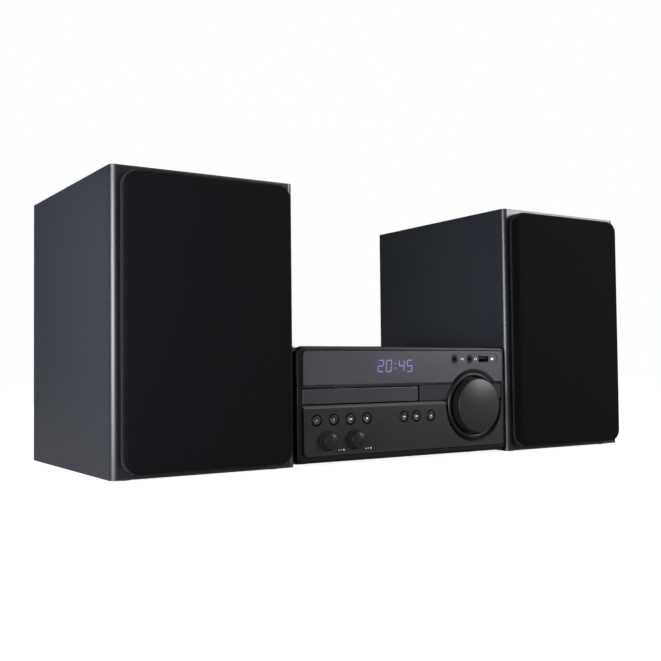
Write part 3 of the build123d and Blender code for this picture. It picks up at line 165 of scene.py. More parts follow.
def uneven_group():
    """A finish that varies softly from place to place, in colour and in gloss."""
    tree, given, out = effect_group(
        "uneven_finish",
        [("Colour", COLOUR, GREY), ("Colour Spread", FLOAT, 0.1), ("Roughness", FLOAT, 0.5),
         ("Roughness Spread", FLOAT, 0.05), ("Patch Scale", FLOAT, 18.0)],
        [("Colour", COLOUR), ("Roughness", FLOAT)],
    )
    place = put(tree, "ShaderNodeTexCoord").outputs["Object"]
    patches = put(tree, "ShaderNodeTexNoise", {
        "Vector": place, "Scale": given["Patch Scale"], "Detail": 5.0, "Roughness": 0.6,
    }).outputs["Fac"]
    swing = math_node(tree, "MULTIPLY", math_node(tree, "SUBTRACT", patches, 0.5), 2.0)
    lift = math_node(tree, "MULTIPLY_ADD", swing, given["Colour Spread"], 1.0)
    tinted = put(tree, "ShaderNodeVectorMath", {0: given["Colour"]}, operation="SCALE")
    tree.links.new(lift, tinted.inputs["Scale"])
    tree.links.new(tinted.outputs[0], out.inputs["Colour"])
    gloss = math_node(tree, "MULTIPLY_ADD", swing, given["Roughness Spread"], given["Roughness"])
    tree.links.new(gloss, out.inputs["Roughness"])
    return tree


def grain_group():
    """The pebbled grain of a moulded or wrapped surface: small bumps with fine noise on them, and a mask of
    the hollows between them for painted shade.
    """
    tree, given, out = effect_group(
        "moulded_grain",
        [("Scale", FLOAT, 900.0), ("Pebbles", FLOAT, 0.5)],
        [("Height", FLOAT), ("Hollow Shade", FLOAT)],
    )
    place = put(tree, "ShaderNodeTexCoord").outputs["Object"]
    cells = put(tree, "ShaderNodeTexVoronoi", {"Vector": place, "Scale": given["Scale"]},
                feature="SMOOTH_F1").outputs["Distance"]
    fine = put(tree, "ShaderNodeTexNoise", {
        "Vector": place, "Scale": given["Scale"], "Detail": 3.0,
    }).outputs["Fac"]
    pebble = math_node(tree, "SUBTRACT", 1.0, cells)
    bumps = math_node(tree, "MULTIPLY", pebble, given["Pebbles"])
    height = math_node(tree, "ADD", bumps, fine)
    tree.links.new(height, out.inputs["Height"])
    tree.links.new(remap(tree, cells, 0.35, 0.8), out.inputs["Hollow Shade"])
    return tree


def brushed_group():
    """Fine straight scratches along X, as rolled or brushed sheet shows."""
    tree, given, out = effect_group(
        "brushed_lines", [("Scale", FLOAT, 1200.0)], [("Height", FLOAT), ("Streaks", FLOAT)]
    )
    place = put(tree, "ShaderNodeTexCoord").outputs["Object"]
    drawn = put(tree, "ShaderNodeVectorMath", {0: place, 1: (0.02, 1.0, 1.0)},
                operation="MULTIPLY").outputs[0]
    lines = put(tree, "ShaderNodeTexNoise", {
        "Vector": drawn, "Scale": given["Scale"], "Detail": 2.0,
    }).outputs["Fac"]
    tree.links.new(lines, out.inputs["Height"])
    tree.links.new(remap(tree, lines, 0.35, 0.65), out.inputs["Streaks"])
    return tree


def knit_group():
    """Knitted speaker cloth: columns of loops, offset in every other column, with open gaps, and a mask of
    the gaps for painted shade.
    """
    tree, given, out = effect_group(
        "knitted_loops", [("Pitch", FLOAT, 0.001)], [("Height", FLOAT), ("Gap Shade", FLOAT)]
    )
    place = put(tree, "ShaderNodeTexCoord").outputs["Object"]
    parts = put(tree, "ShaderNodeSeparateXYZ", {0: place}).outputs
    turns = math_node(tree, "DIVIDE", math.tau, given["Pitch"])
    across = math_node(tree, "MULTIPLY", math_node(tree, "ADD", parts["X"], parts["Y"]), turns)
    along = math_node(tree, "MULTIPLY", parts["Z"], turns)
    shifted = math_node(tree, "ADD", along, math_node(tree, "MULTIPLY", across, 0.5))
    column = math_node(tree, "ABSOLUTE", math_node(tree, "SINE", across))
    loop = math_node(tree, "ABSOLUTE", math_node(tree, "SINE", shifted))
    height = math_node(tree, "MULTIPLY", column, loop)
    tree.links.new(height, out.inputs["Height"])
    tree.links.new(remap(tree, height, 0.0, 0.3, 1.0, 0.0), out.inputs["Gap Shade"])
    return tree


GROUPS = {
    "uneven": uneven_group(), "grain": grain_group(), "brushed": brushed_group(),
    "knit": knit_group(),
}


# ---------------------------------------------------------------- finishes
STREAK_SHADE = 0.82
HAZE_INSIDE, HAZE_REACH = 2 * MM, 5 * MM  # it fades from inside the figures' edge to outside it
# painted shade along the socket recess's edge fades out between these distances from it
RECESS_SHADE_FADE = (0.4 * MM, 0.8 * MM)
KNOB_FACE_EDGE = (0.9 * MM, 1.3 * MM)  # depths between which a knob's face turns into its side


def use_group(tree, name, **inputs):
    """One of the shared groups in a material, with its own values."""
    made = tree.nodes.new("ShaderNodeGroup")
    made.node_tree = GROUPS[name]
    for key, value in inputs.items():
        made.inputs[key.replace("_", " ")].default_value = value
    return made.outputs


def start_finish(name, **shader):
    """A material with an empty Principled shader, whose constant values sit on its own sockets."""
    material = bpy.data.materials.new(name)
    material.use_nodes = True
    tree = material.node_tree
    principled = tree.nodes["Principled BSDF"]
    for key, value in shader.items():
        principled.inputs[key.replace("_", " ")].default_value = value
    return material, tree, principled


def colour_and_gloss(tree, principled, colour, spread, rough, rough_spread, scale=18.0):
    """The uneven finish on the shader. Gives its colour socket back, so more can be laid on it."""
    finish = use_group(tree, "uneven", Colour=(*colour, 1.0), Colour_Spread=spread,
                       Roughness=rough, Roughness_Spread=rough_spread, Patch_Scale=scale)
    tree.links.new(finish["Colour"], principled.inputs["Base Color"])
    tree.links.new(finish["Roughness"], principled.inputs["Roughness"])
    return finish["Colour"]


def bump(tree, principled, height, depth):
    """Bumps as deep as depth, in metres."""
    made = put(tree, "ShaderNodeBump", {"Height": height, "Strength": 1.0, "Distance": depth})
    tree.links.new(made.outputs["Normal"], principled.inputs["Normal"])


def moulded(name, colour, rough, grain, depth, spread=0.06, **shader):
    """Moulded plastic, rubber or paint: soft patches of gloss under a grain, depth in millimetres."""
    material, tree, principled = start_finish(name, **shader)
    colour_and_gloss(tree, principled, colour, spread, rough, 0.05)
    texture = use_group(tree, "grain", Scale=grain, Pebbles=0.5)
    bump(tree, principled, texture["Height"], depth * MM)
    return material


def rolled(name, colour, rough):
    """Bare or plated metal with drawn lines, in which its colour is darker."""
    material, tree, principled = start_finish(name, Metallic=1.0)
    base = colour_and_gloss(tree, principled, colour, 0.08, rough, 0.08)
    lines = use_group(tree, "brushed", Scale=1200.0)
    streak = [channel * STREAK_SHADE for channel in colour]
    streaked = mix_colours(tree, lines["Streaks"], base, (*streak, 1.0))
    tree.links.new(streaked, principled.inputs["Base Color"])
    bump(tree, principled, lines["Height"], 0.006 * MM)
    return material


def cabinet_wrap():
    """Blue-black vinyl wrap with a pebbled leather-like grain, and painted shade in the grain's hollows."""
    material, tree, principled = start_finish(
        "cabinet_vinyl", Specular_IOR_Level=0.5, Coat_Weight=0.6, Coat_Roughness=0.38)
    base = colour_and_gloss(tree, principled, (0.0085, 0.0097, 0.0145), 0.10, 0.42, 0.03)
    grain = use_group(tree, "grain", Scale=620.0, Pebbles=0.8)
    # painted shade: the grain's hollows are darkened
    shaded = mix_colours(tree, grain["Hollow Shade"], base, (0.0055, 0.0065, 0.0100, 1.0))
    tree.links.new(shaded, principled.inputs["Base Color"])
    bump(tree, principled, grain["Height"], 0.045 * MM)
    return material


def recess_edge_shade(tree, parts):
    """A mask for painted shade: nearly one on the edge of the recess round the front sockets, and nought
    off it.
    """
    radius = RECESS_HEIGHT / 2
    reach = RECESS_WIDTH / 2 - radius
    along = math_node(tree, "ABSOLUTE", math_node(tree, "SUBTRACT", parts["X"], RECESS_MIDDLE.x))
    beyond = math_node(tree, "MAXIMUM", math_node(tree, "SUBTRACT", along, reach), 0.0)
    up = math_node(tree, "SUBTRACT", parts["Z"], RECESS_MIDDLE.z)
    away = math_node(tree, "SQRT", math_node(
        tree, "ADD", math_node(tree, "MULTIPLY", beyond, beyond), math_node(tree, "MULTIPLY", up, up)))
    off = math_node(tree, "ABSOLUTE", math_node(tree, "SUBTRACT", away, radius))
    return remap(tree, off, *RECESS_SHADE_FADE, 0.9, 0.0)


def smoked_window():
    """Smoked display window, with the violet haze of the lit display behind it, and painted shade along the
    edge of the socket recess.
    """
    material, tree, principled = start_finish(
        "window_plastic", Specular_IOR_Level=1.0, Emission_Strength=0.35)
    base = colour_and_gloss(tree, principled, (0.028, 0.028, 0.037), 0.03, 0.23, 0.006)
    grain = use_group(tree, "grain", Scale=2600.0, Pebbles=0.2)
    bump(tree, principled, grain["Height"], 0.004 * MM)
    place = put(tree, "ShaderNodeTexCoord").outputs["Object"]
    parts = put(tree, "ShaderNodeSeparateXYZ", {0: place}).outputs
    # painted shade: the socket recess's edge is darkened
    recess_shaded = mix_colours(tree, recess_edge_shade(tree, parts), base, (0.004, 0.004, 0.006, 1.0))
    tree.links.new(recess_shaded, principled.inputs["Base Color"])
    near = []
    for axis, middle, half in (("X", DIGITS_MIDDLE.x, DIGITS_WIDTH / 2),
                               ("Z", DIGITS_MIDDLE.z, DIGITS_HEIGHT / 2)):
        away = math_node(tree, "ABSOLUTE", math_node(tree, "SUBTRACT", parts[axis], middle))
        near.append(remap(tree, away, half - HAZE_INSIDE, half + HAZE_REACH, 1.0, 0.0))
    haze = math_node(tree, "MULTIPLY", *near)
    glow = mix_colours(tree, haze, (0.0, 0.0, 0.0, 1.0), (0.022, 0.018, 0.075, 1.0))
    tree.links.new(glow, principled.inputs["Emission Color"])
    return material


def two_tone_bezel():
    """Black front moulding, whose recessed middle band has the panels' satin grey."""
    material, tree, principled = start_finish("bezel_plastic", Specular_IOR_Level=0.2)
    base = colour_and_gloss(tree, principled, (0.0035, 0.0035, 0.004), 0.08, 0.34, 0.02)
    place = put(tree, "ShaderNodeTexCoord").outputs["Object"]
    parts = put(tree, "ShaderNodeSeparateXYZ", {0: place}).outputs
    nearest, farthest = (BEZEL_FACE + depth for depth in BAND_FLOOR_DEPTHS)
    above = math_node(tree, "GREATER_THAN", parts["Z"], PANEL_HIGH.z + BAND_GROOVE - BAND_MARGIN)
    below = math_node(tree, "LESS_THAN", parts["Z"], WINDOW_LOW.z + BAND_MARGIN)
    behind = math_node(tree, "GREATER_THAN", parts["Y"], nearest)
    before = math_node(tree, "LESS_THAN", parts["Y"], farthest)
    band = math_node(tree, "MULTIPLY", math_node(tree, "MULTIPLY", above, below),
                     math_node(tree, "MULTIPLY", behind, before))
    banded = mix_colours(tree, band, base, (0.018, 0.018, 0.020, 1.0))
    tree.links.new(banded, principled.inputs["Base Color"])
    grain = use_group(tree, "grain", Scale=1800.0, Pebbles=0.3)
    bump(tree, principled, grain["Height"], 0.008 * MM)
    return material


def faced_knob(node, grey, dome_radius, face_shine):
    """A knob's satin grey face that catches light like a shallow dome, and its dull black side."""
    material, tree, principled = start_finish(node + "_plastic", Specular_IOR_Level=face_shine)
    base = colour_and_gloss(tree, principled, (grey, grey, grey), 0.05, 0.30, 0.01)
    place = put(tree, "ShaderNodeTexCoord").outputs["Object"]
    parts = put(tree, "ShaderNodeSeparateXYZ", {0: place}).outputs
    low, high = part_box(node)
    middle = (low + high) / 2
    side = remap(tree, parts["Y"], *(low.y + depth for depth in KNOB_FACE_EDGE))
    sided = mix_colours(tree, side, base, (0.0015, 0.0015, 0.0017, 1.0))
    tree.links.new(sided, principled.inputs["Base Color"])
    face_rough = principled.inputs["Roughness"].links[0].from_socket
    dulled = math_node(tree, "MULTIPLY_ADD", side, 0.6, face_rough)
    tree.links.new(dulled, principled.inputs["Roughness"])
    squares = []
    for axis, centre in (("X", middle.x), ("Z", middle.z)):
        away = math_node(tree, "SUBTRACT", parts[axis], centre)
        squares.append(math_node(tree, "MULTIPLY", away, away))
    dome = math_node(tree, "MULTIPLY", math_node(tree, "ADD", *squares), -0.5 / dome_radius)
    domed_face = math_node(tree, "MULTIPLY", dome, math_node(tree, "SUBTRACT", 1.0, side))
    grain = use_group(tree, "grain", Scale=2400.0, Pebbles=0.3)
    metres = math_node(tree, "MULTIPLY_ADD", grain["Height"], 0.005 * MM, domed_face)
    bump(tree, principled, metres, 1.0)
    return material


def stretched_knit():
    """Black knitted cloth, matt, with painted shade darkening the gaps between its loops."""
    material, tree, principled = start_finish(
        "grille_cloth", Specular_IOR_Level=0.06, Sheen_Weight=0.06, Sheen_Roughness=0.3)
    base = colour_and_gloss(tree, principled, (0.0040, 0.0038, 0.0050), 0.06, 0.9, 0.04, 9.0)
    knit = use_group(tree, "knit", Pitch=1.1 * MM)
    # painted shade: the gaps between the loops are darkened
    gap_shaded = mix_colours(tree, knit["Gap Shade"], base, (0.0012, 0.0012, 0.0015, 1.0))
    tree.links.new(gap_shaded, principled.inputs["Base Color"])
    bump(tree, principled, knit["Height"], 0.12 * MM)
    return material


def circuit_board():
    """Green laminate, with each part on it in its own dark or tinned colour."""
    material, tree, principled = start_finish("board_laminate")
    base = colour_and_gloss(tree, principled, (0.012, 0.075, 0.028), 0.15, 0.4, 0.08, 60.0)
    chance = put(tree, "ShaderNodeNewGeometry").outputs["Random Per Island"]
    is_part = math_node(tree, "GREATER_THAN", chance, 0.35)
    part = mix_colours(tree, chance, (0.012, 0.012, 0.013, 1.0), (0.16, 0.16, 0.17, 1.0))
    tree.links.new(mix_colours(tree, is_part, base, part), principled.inputs["Base Color"])
    grain = use_group(tree, "grain", Scale=700.0, Pebbles=0.4)
    bump(tree, principled, grain["Height"], 0.02 * MM)
    return material


def lit(name, colour, strength):
    """A printed or lit mark with a faint glow: the lit display's real light, and on printed marks a painted
    glow that keeps them readable on black.
    """
    material, tree, principled = start_finish(name, Emission_Strength=strength)
    pale = colour_and_gloss(tree, principled, colour, 0.06, 0.5, 0.05, 400.0)
    tree.links.new(pale, principled.inputs["Emission Color"])
    return material


def make_finishes():
    """Every finish by its name, which is its slot's name where one slot has one finish."""
    plain = {
        "case_metal": ((0.022, 0.022, 0.024), 0.50, dict(grain=900.0, depth=0.03)),
        "foot_rubber": ((0.010, 0.010, 0.011), 0.80, dict(grain=500.0, depth=0.05)),
        "panel_plastic": ((0.007, 0.007, 0.008), 0.28, dict(grain=1700.0, depth=0.008)),
        "button_plastic": ((0.013, 0.013, 0.014), 0.36,
                           dict(grain=2400.0, depth=0.004, Specular_IOR_Level=0.3)),
        "door_plastic": ((0.017, 0.017, 0.019), 0.26,
                         dict(grain=1700.0, depth=0.008, Specular_IOR_Level=0.62)),
        "socket_plastic": ((0.005, 0.005, 0.006), 0.45,
                           dict(grain=1500.0, depth=0.010, Specular_IOR_Level=0.15)),
        "drive_plastic": ((0.016, 0.016, 0.017), 0.55, dict(grain=900.0, depth=0.020)),
        "tray_plastic": ((0.022, 0.022, 0.023), 0.45, dict(grain=1100.0, depth=0.015)),
        "gear_plastic": ((0.62, 0.62, 0.58), 0.45, dict(grain=1200.0, depth=0.010)),
        "baffle_lacquer": ((0.007, 0.007, 0.008), 0.30, dict(grain=420.0, depth=0.006)),
        "ring_metal": ((0.007, 0.007, 0.008), 0.42,
                       dict(grain=2400.0, depth=0.006, Specular_IOR_Level=0.28)),
        "grille_plastic": ((0.010, 0.010, 0.011), 0.55, dict(grain=900.0, depth=0.020)),
        "basket_steel": ((0.014, 0.014, 0.015), 0.42, dict(grain=1000.0, depth=0.015)),
        "magnet_ferrite": ((0.040, 0.040, 0.043), 0.60, dict(grain=700.0, depth=0.030)),
        "cone_paper": ((0.026, 0.026, 0.027), 0.72, dict(grain=380.0, depth=0.060, spread=0.2)),
        "surround_rubber": ((0.009, 0.009, 0.010), 0.50, dict(grain=900.0, depth=0.010)),
        "tweeter_parts": ((0.012, 0.012, 0.013), 0.40, dict(grain=800.0, depth=0.015)),
        "port_plastic": ((0.011, 0.011, 0.012), 0.42, dict(grain=1100.0, depth=0.015)),
        "pad_rubber": ((0.018, 0.018, 0.019), 0.85, dict(grain=500.0, depth=0.040)),
        "display_glass": ((0.010, 0.010, 0.014), 0.12, dict(grain=2600.0, depth=0.001)),
        "red_collar": ((0.42, 0.020, 0.018), 0.38, dict(grain=1600.0, depth=0.006)),
        "white_collar": ((0.66, 0.66, 0.64), 0.38, dict(grain=1600.0, depth=0.006)),
    }
    made = {
        name: moulded(name, colour, rough, **more) for name, (colour, rough, more) in plain.items()
    }
    for name, colour, rough in (
        ("zinc_steel", (0.58, 0.59, 0.60), 0.36),
        ("screw_steel", (0.11, 0.11, 0.115), 0.34),
        ("motor_steel", (0.52, 0.52, 0.53), 0.30),
        ("socket_metal", (0.78, 0.76, 0.70), 0.22),
    ):
        made[name] = rolled(name, colour, rough)
    made["cabinet_vinyl"] = cabinet_wrap()
    made["window_plastic"] = smoked_window()
    made["bezel_plastic"] = two_tone_bezel()
    made["volume_knob_plastic"] = faced_knob("volume_knob", 0.017, 190 * MM, 0.27)
    made["bass_knob_plastic"] = faced_knob("bass_knob", 0.008, 34 * MM, 0.26)
    made["treble_knob_plastic"] = faced_knob("treble_knob", 0.008, 34 * MM, 0.26)
    made["grille_cloth"] = stretched_knit()
    made["board_laminate"] = circuit_board()
    made["display_light"] = lit("display_light", (0.17, 0.155, 0.34), 0.36)
    # the printed marks glow: painted light, as they are no lamps
    made["bright_mark"] = lit("bright_mark", (0.66, 0.66, 0.68), 0.35)
    made["dim_mark"] = lit("dim_mark", (0.30, 0.30, 0.31), 0.25)
    return made


# ---------------------------------------------------------------- mesh helpers
BEND_STEPS = 20


def add_piece(mesh_work, name, finish, body, smooth=True):
    """The mesh as a named piece that rides on a body."""
    bmesh.ops.recalc_face_normals(mesh_work, faces=mesh_work.faces)
    data = bpy.data.meshes.new(name)
    mesh_work.to_mesh(data)
    mesh_work.free()
    for face in data.polygons:
        face.use_smooth = smooth
    data.materials.append(FINISHES[finish])
    piece = bpy.data.objects.new(name, data)
    bpy.context.scene.collection.objects.link(piece)
    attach(piece, body)
    return piece


def soften_edges(piece, width):
    """A small rounding on sharp edges, as a moulding has."""
    rounding = piece.modifiers.new("rounding", "BEVEL")
    rounding.width = width
    rounding.segments = 2
    rounding.limit_method = "ANGLE"


def raise_outlines(mesh_work, outlines, origin, depth):
    """Flat outlines, as (across, up) points in millimetres, made solid from origin's y back."""
    for outline in outlines:
        rings = [
            [mesh_work.verts.new(origin + Vector((u * MM, back, v * MM))) for u, v in outline]
            for back in (0.0, depth)
        ]
        mesh_work.faces.new(rings[0])
        mesh_work.faces.new(rings[1][::-1])
        for index in range(len(outline)):
            after = (index + 1) % len(outline)
            mesh_work.faces.new(
                (rings[0][index], rings[1][index], rings[1][after], rings[0][after]))


def turn_profile(mesh_work, profile, origin, facing=-1.0, steps=48, hex_points=()):
    """A ring about Y through origin, from (radius, outward) points in millimetres.

    Points listed in hex_points follow a hexagon, for a driver's socket.
    """
    rings = []
    for index, (radius, out) in enumerate(profile):
        ring = []
        for step in range(steps):
            angle = math.tau * step / steps
            reach = radius
            if index in hex_points:
                reach /= math.cos((angle % (math.pi / 3)) - math.pi / 6)
            offset = Vector((math.cos(angle) * reach, facing * out, math.sin(angle) * reach))
            ring.append(mesh_work.verts.new(origin + offset * MM))
        rings.append(ring)
    for first, second in zip(rings, rings[1:]):
        for step in range(steps):
            after = (step + 1) % steps
            mesh_work.faces.new((first[step], first[after], second[after], second[step]))


def bar(left, right, low, high):
    """An upright rectangle's corners."""
    return [(left, low), (right, low), (right, high), (left, high)]


def bent_bar(radius, width, start, end):
    """An arc-shaped bar, angles in degrees from the right."""
    shares = [step / BEND_STEPS for step in range(BEND_STEPS + 1)]
    angles = [math.radians(start + (end - start) * share) for share in shares]

    def arc(reach):
        return [(math.cos(angle) * reach, math.sin(angle) * reach) for angle in angles]

    return arc(radius + width / 2) + arc(radius - width / 2)[::-1]


def shifted(outline, across, up=0.0):
    return [(u + across, v + up) for u, v in outline]


def resized(outlines, size):
    return [[(u * size, v * size) for u, v in outline] for outline in outlines]


def triangle(size):
    """A triangle that points to the right."""
    back, half = -size * 0.5, size * 0.6
    return [(back, -half), (size * 0.6, 0.0), (back, half)]


# ---------------------------------------------------------------- display
CLOCK_TEXT = "20:45"
LIT_SEGMENTS = {"0": "abcdef", "2": "abged", "4": "fgbc", "5": "afgcd"}
DIGIT_SLANT = 0.09
SEGMENT_GAP = 0.18
COLON_HALF, COLON_RISE = 0.6, 2.2
FIGURES_PROUD, FIGURES_DEPTH = 0.08 * MM, 0.16 * MM


def segment_outlines():
    """The seven bars of a figure by their usual letters, about the figure's middle."""
    half_w, half_h, edge = DIGIT_WIDTH / 2, DIGIT_HEIGHT / 2, DIGIT_STROKE / 2

    def level(z):
        reach = half_w - SEGMENT_GAP
        return [(-reach, z), (-reach + edge, z + edge), (reach - edge, z + edge),
                (reach, z), (reach - edge, z - edge), (-reach + edge, z - edge)]

    def upright(x, low, high):
        low, high = low + SEGMENT_GAP, high - SEGMENT_GAP
        return [(x, low), (x + edge, low + edge), (x + edge, high - edge),
                (x, high), (x - edge, high - edge), (x - edge, low + edge)]

    return {
        "a": level(half_h), "g": level(0.0), "d": level(-half_h),
        "b": upright(half_w, 0.0, half_h), "c": upright(half_w, -half_h, 0.0),
        "f": upright(-half_w, 0.0, half_h), "e": upright(-half_w, -half_h, 0.0),
    }


def add_display():
    """A lit clock in slanted bar figures, on the window."""
    bars = segment_outlines()
    dot = bar(-COLON_HALF, COLON_HALF, -COLON_HALF, COLON_HALF)
    origin = DIGITS_MIDDLE - Vector((0, FIGURES_PROUD, 0))
    work = bmesh.new()
    across = -CLOCK_ROW / 2
    for character in CLOCK_TEXT:
        if character == ":":
            pitch = COLON_PITCH
            lit_bars = [shifted(dot, 0.0, up) for up in (COLON_RISE, -COLON_RISE)]
        else:
            pitch = DIGIT_PITCH
            lit_bars = [bars[letter] for letter in LIT_SEGMENTS[character]]
        centre = across + pitch / 2
        across += pitch
        slanted = [[(centre + u + v * DIGIT_SLANT, v) for u, v in outline] for outline in lit_bars]
        raise_outlines(work, slanted, origin, FIGURES_DEPTH)
    figures = add_piece(work, "display_figures", "display_light", "receiver", False)
    soften_edges(figures, 0.03 * MM)


# ---------------------------------------------------------------- button and socket marks
MARK_DEPTH, MARK_PROUD = 0.14 * MM, 0.05 * MM
DIMPLE = 0.2 * MM  # how far a sign's front lies behind its button's rim
BUTTON_SIGN_SIZE, SOCKET_SIGN_SIZE = 0.85, 0.8
TONE_MARKS_BESIDE, TONE_MARKS_UP = 5.4 * MM, 0.4 * MM  # from a tone knob's lower right corner


def button_marks():
    """Each button's usual sign, in outlines about the cap's middle, and its brightness."""
    skip = [triangle(1.3), shifted(triangle(1.3), 1.3), bar(2.1, 2.45, -0.8, 0.8)]
    skip = [shifted(outline, -1.0) for outline in skip]
    skip_back = [[(-u, v) for u, v in outline][::-1] for outline in skip]
    return {
        "power_button": ([bent_bar(1.15, 0.34, 130, 410), bar(-0.17, 0.17, 0.3, 1.5)], "dim_mark"),
        "source_button": ([bent_bar(1.2, 0.3, 40, 320), triangle(0.9)], "dim_mark"),
        "play_button": ([shifted(triangle(1.7), -0.7), bar(0.6, 0.95, -1.0, 1.0),
                         bar(1.3, 1.65, -1.0, 1.0)], "bright_mark"),
        "stop_button": ([bar(-0.95, 0.95, -0.95, 0.95)], "bright_mark"),
        "previous_button": (skip_back, "bright_mark"),
        "next_button": (skip, "bright_mark"),
        "eject_button": ([[(-1.2, -0.3), (1.2, -0.3), (0.0, 1.2)], bar(-1.2, 1.2, -1.1, -0.7)],
                         "bright_mark"),
    }


def add_button_marks():
    for name, (outlines, finish) in button_marks().items():
        low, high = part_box(name)
        middle = Vector(((low.x + high.x) / 2, low.y + DIMPLE, (low.z + high.z) / 2))
        work = bmesh.new()
        raise_outlines(work, resized(outlines, BUTTON_SIGN_SIZE), middle, MARK_DEPTH)
        sign = name.replace("_button", "_sign")
        add_piece(work, sign, finish, name, False)


def plus_and_minus():
    """A minus, a dot and a plus in a row, for a tone control's two ends."""
    return [
        bar(-3.4, -1.9, -0.22, 0.22), bent_bar(0.2, 0.38, 0, 350),
        bar(1.9, 3.4, -0.22, 0.22), bar(2.43, 2.87, 0.22, 0.75), bar(2.43, 2.87, -0.75, -0.22),
    ]


def add_tone_marks():
    for name in ("bass", "treble"):
        low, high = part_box(name + "_knob")
        place = Vector((high.x + TONE_MARKS_BESIDE, PANEL_FACE - MARK_PROUD, low.z + TONE_MARKS_UP))
        work = bmesh.new()
        raise_outlines(work, plus_and_minus(), place, MARK_DEPTH)
        add_piece(work, name + "_marks", "bright_mark", "receiver", False)


def add_socket_marks():
    """Small signs right of each front socket: sound in, headphones, and a plug."""
    face = RECESS_MIDDLE.y - MARK_PROUD
    sound_in = [bar(-2.4, 0.2, -0.35, 0.35), shifted(triangle(1.8), 0.8),
                bar(2.1, 2.6, -1.5, 1.5)]
    headphones = [bent_bar(1.5, 0.45, 10, 170), bar(-2.0, -1.1, -1.3, 0.2),
                  bar(1.1, 2.0, -1.3, 0.2)]
    plug = [bar(-2.2, 0.9, -1.5, 1.5), bar(1.0, 2.6, -1.0, -0.3), bar(1.0, 2.6, 0.3, 1.0)]
    for name, outlines, socket_x, beside in (
        ("sound_in_sign", sound_in, 56.5 * MM, 9.6 * MM),
        ("headphone_sign", headphones, 76.2 * MM, 7.8 * MM),
        ("plug_sign", plug, 94.6 * MM, 11.6 * MM),
    ):
        place = Vector((socket_x + beside, face, RECESS_MIDDLE.z))
        work = bmesh.new()
        raise_outlines(work, resized(outlines, SOCKET_SIGN_SIZE), place, MARK_DEPTH)
        add_piece(work, name, "bright_mark", "receiver", False)


# ---------------------------------------------------------------- grille cloth
CLOTH_THICKNESS = 0.5 * MM
CLOTH_CORNER = 12.0 * MM
CLOTH_EDGE = 3.0 * MM
CLOTH_SAG = 0.35 * MM
CLOTH_SIDE_RING = 3.0 * MM  # how far behind the rounded edge the sides have one more ring
CORNER_STEPS, STRAIGHT_STEPS, EDGE_STEPS, FACE_RINGS = 12, 18, 6, 14


def rounded_outline(half_width, half_height, radius):
    """Points round a rounded rectangle, with points along its straight sides too."""
    points = []
    corners = ((1, 1, 0), (-1, 1, 90), (-1, -1, 180), (1, -1, 270))
    for sx, sz, start in corners:
        for step in range(CORNER_STEPS + 1):
            angle = math.radians(start + 90 * step / CORNER_STEPS)
            points.append((sx * (half_width - radius) + radius * math.cos(angle),
                           sz * (half_height - radius) + radius * math.sin(angle)))
    filled = []
    for index, point in enumerate(points):
        following = points[(index + 1) % len(points)]
        filled.append(point)
        if (index + 1) % (CORNER_STEPS + 1) == 0:
            for step in range(1, STRAIGHT_STEPS):
                share = step / STRAIGHT_STEPS
                filled.append((point[0] + (following[0] - point[0]) * share,
                               point[1] + (following[1] - point[1]) * share))
    return filled


def add_grille_cloth(side):
    """One knitted cloth, stretched over the frame's front and glued round its sides."""
    low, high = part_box(side + "_grille_cloth")
    middle = (low + high) / 2
    half_skin = CLOTH_THICKNESS / 2
    half_width = (high.x - low.x) / 2 - half_skin
    half_height = (high.z - low.z) / 2 - half_skin
    front, back = low.y + half_skin, high.y
    work = bmesh.new()

    def ring(shrink, y, sag=0.0, share=1.0):
        made = []
        radius = max(CLOTH_CORNER - shrink, 1 * MM)
        for x, z in rounded_outline(half_width - shrink, half_height - shrink, radius):
            x, z = x * share, z * share
            reach = max(abs(x) / half_width, abs(z) / half_height)
            dip = sag * (1 - reach ** 2) * (0.75 + 0.25 * math.cos(math.tau * z / half_height))
            made.append(work.verts.new((middle.x + x, y + dip, middle.z + z)))
        return made

    rings = [ring(0.0, back), ring(0.0, front + CLOTH_EDGE + CLOTH_SIDE_RING)]
    for step in range(EDGE_STEPS + 1):
        angle = math.radians(90 * step / EDGE_STEPS)
        rings.append(ring(CLOTH_EDGE * (1 - math.cos(angle)),
                          front + CLOTH_EDGE * (1 - math.sin(angle))))
    for step in range(1, FACE_RINGS):
        rings.append(ring(CLOTH_EDGE, front, CLOTH_SAG, 1 - step / FACE_RINGS))
    for outer, inner in zip(rings, rings[1:]):
        count = len(outer)
        for index in range(count):
            after = (index + 1) % count
            work.faces.new((outer[index], outer[after], inner[after], inner[index]))
    hub = work.verts.new((middle.x, front + CLOTH_SAG, middle.z))
    innermost = rings[-1]
    for index, vertex in enumerate(innermost):
        work.faces.new((vertex, innermost[(index + 1) % len(innermost)], hub))
    name = side + "_cloth"
    cloth = add_piece(work, name, "grille_cloth", side + "_grille")
    skin = cloth.modifiers.new("cloth_thickness", "SOLIDIFY")
    skin.thickness = CLOTH_THICKNESS
    skin.offset = 0.0
    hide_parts(side + "_grille_cloth")


# ---------------------------------------------------------------- screws and collars
WOOFER_SCREWS, WOOFER_SCREW_RADIUS = 6, 60.5 * MM
TWEETER_SCREWS, TWEETER_SCREW_RADIUS = 4, 30.0 * MM
TWEETER_DOME_PROUD = 1.8 * MM
INPUT_PLATE, PLATE_SCREW_INSET = 2.5 * MM, 5.0 * MM
OUTPUT_INSET = 9.0 * MM  # from the end of the speaker sockets' block to a socket's middle
COLLAR_PROFILE = [(4.25, 0.0), (4.25, 0.7), (5.4, 0.7), (5.7, 0.4), (5.7, 0.0)]
SCREW_STEPS = 36
SCREW_PROFILE = [(0.01, 0.1), (1.0, 0.1), (1.0, 1.0), (2.3, 1.0), (2.8, 0.6), (2.9, 0.0)]
SCREW_HEX = (1, 2)  # the profile's points that follow the socket's hexagon


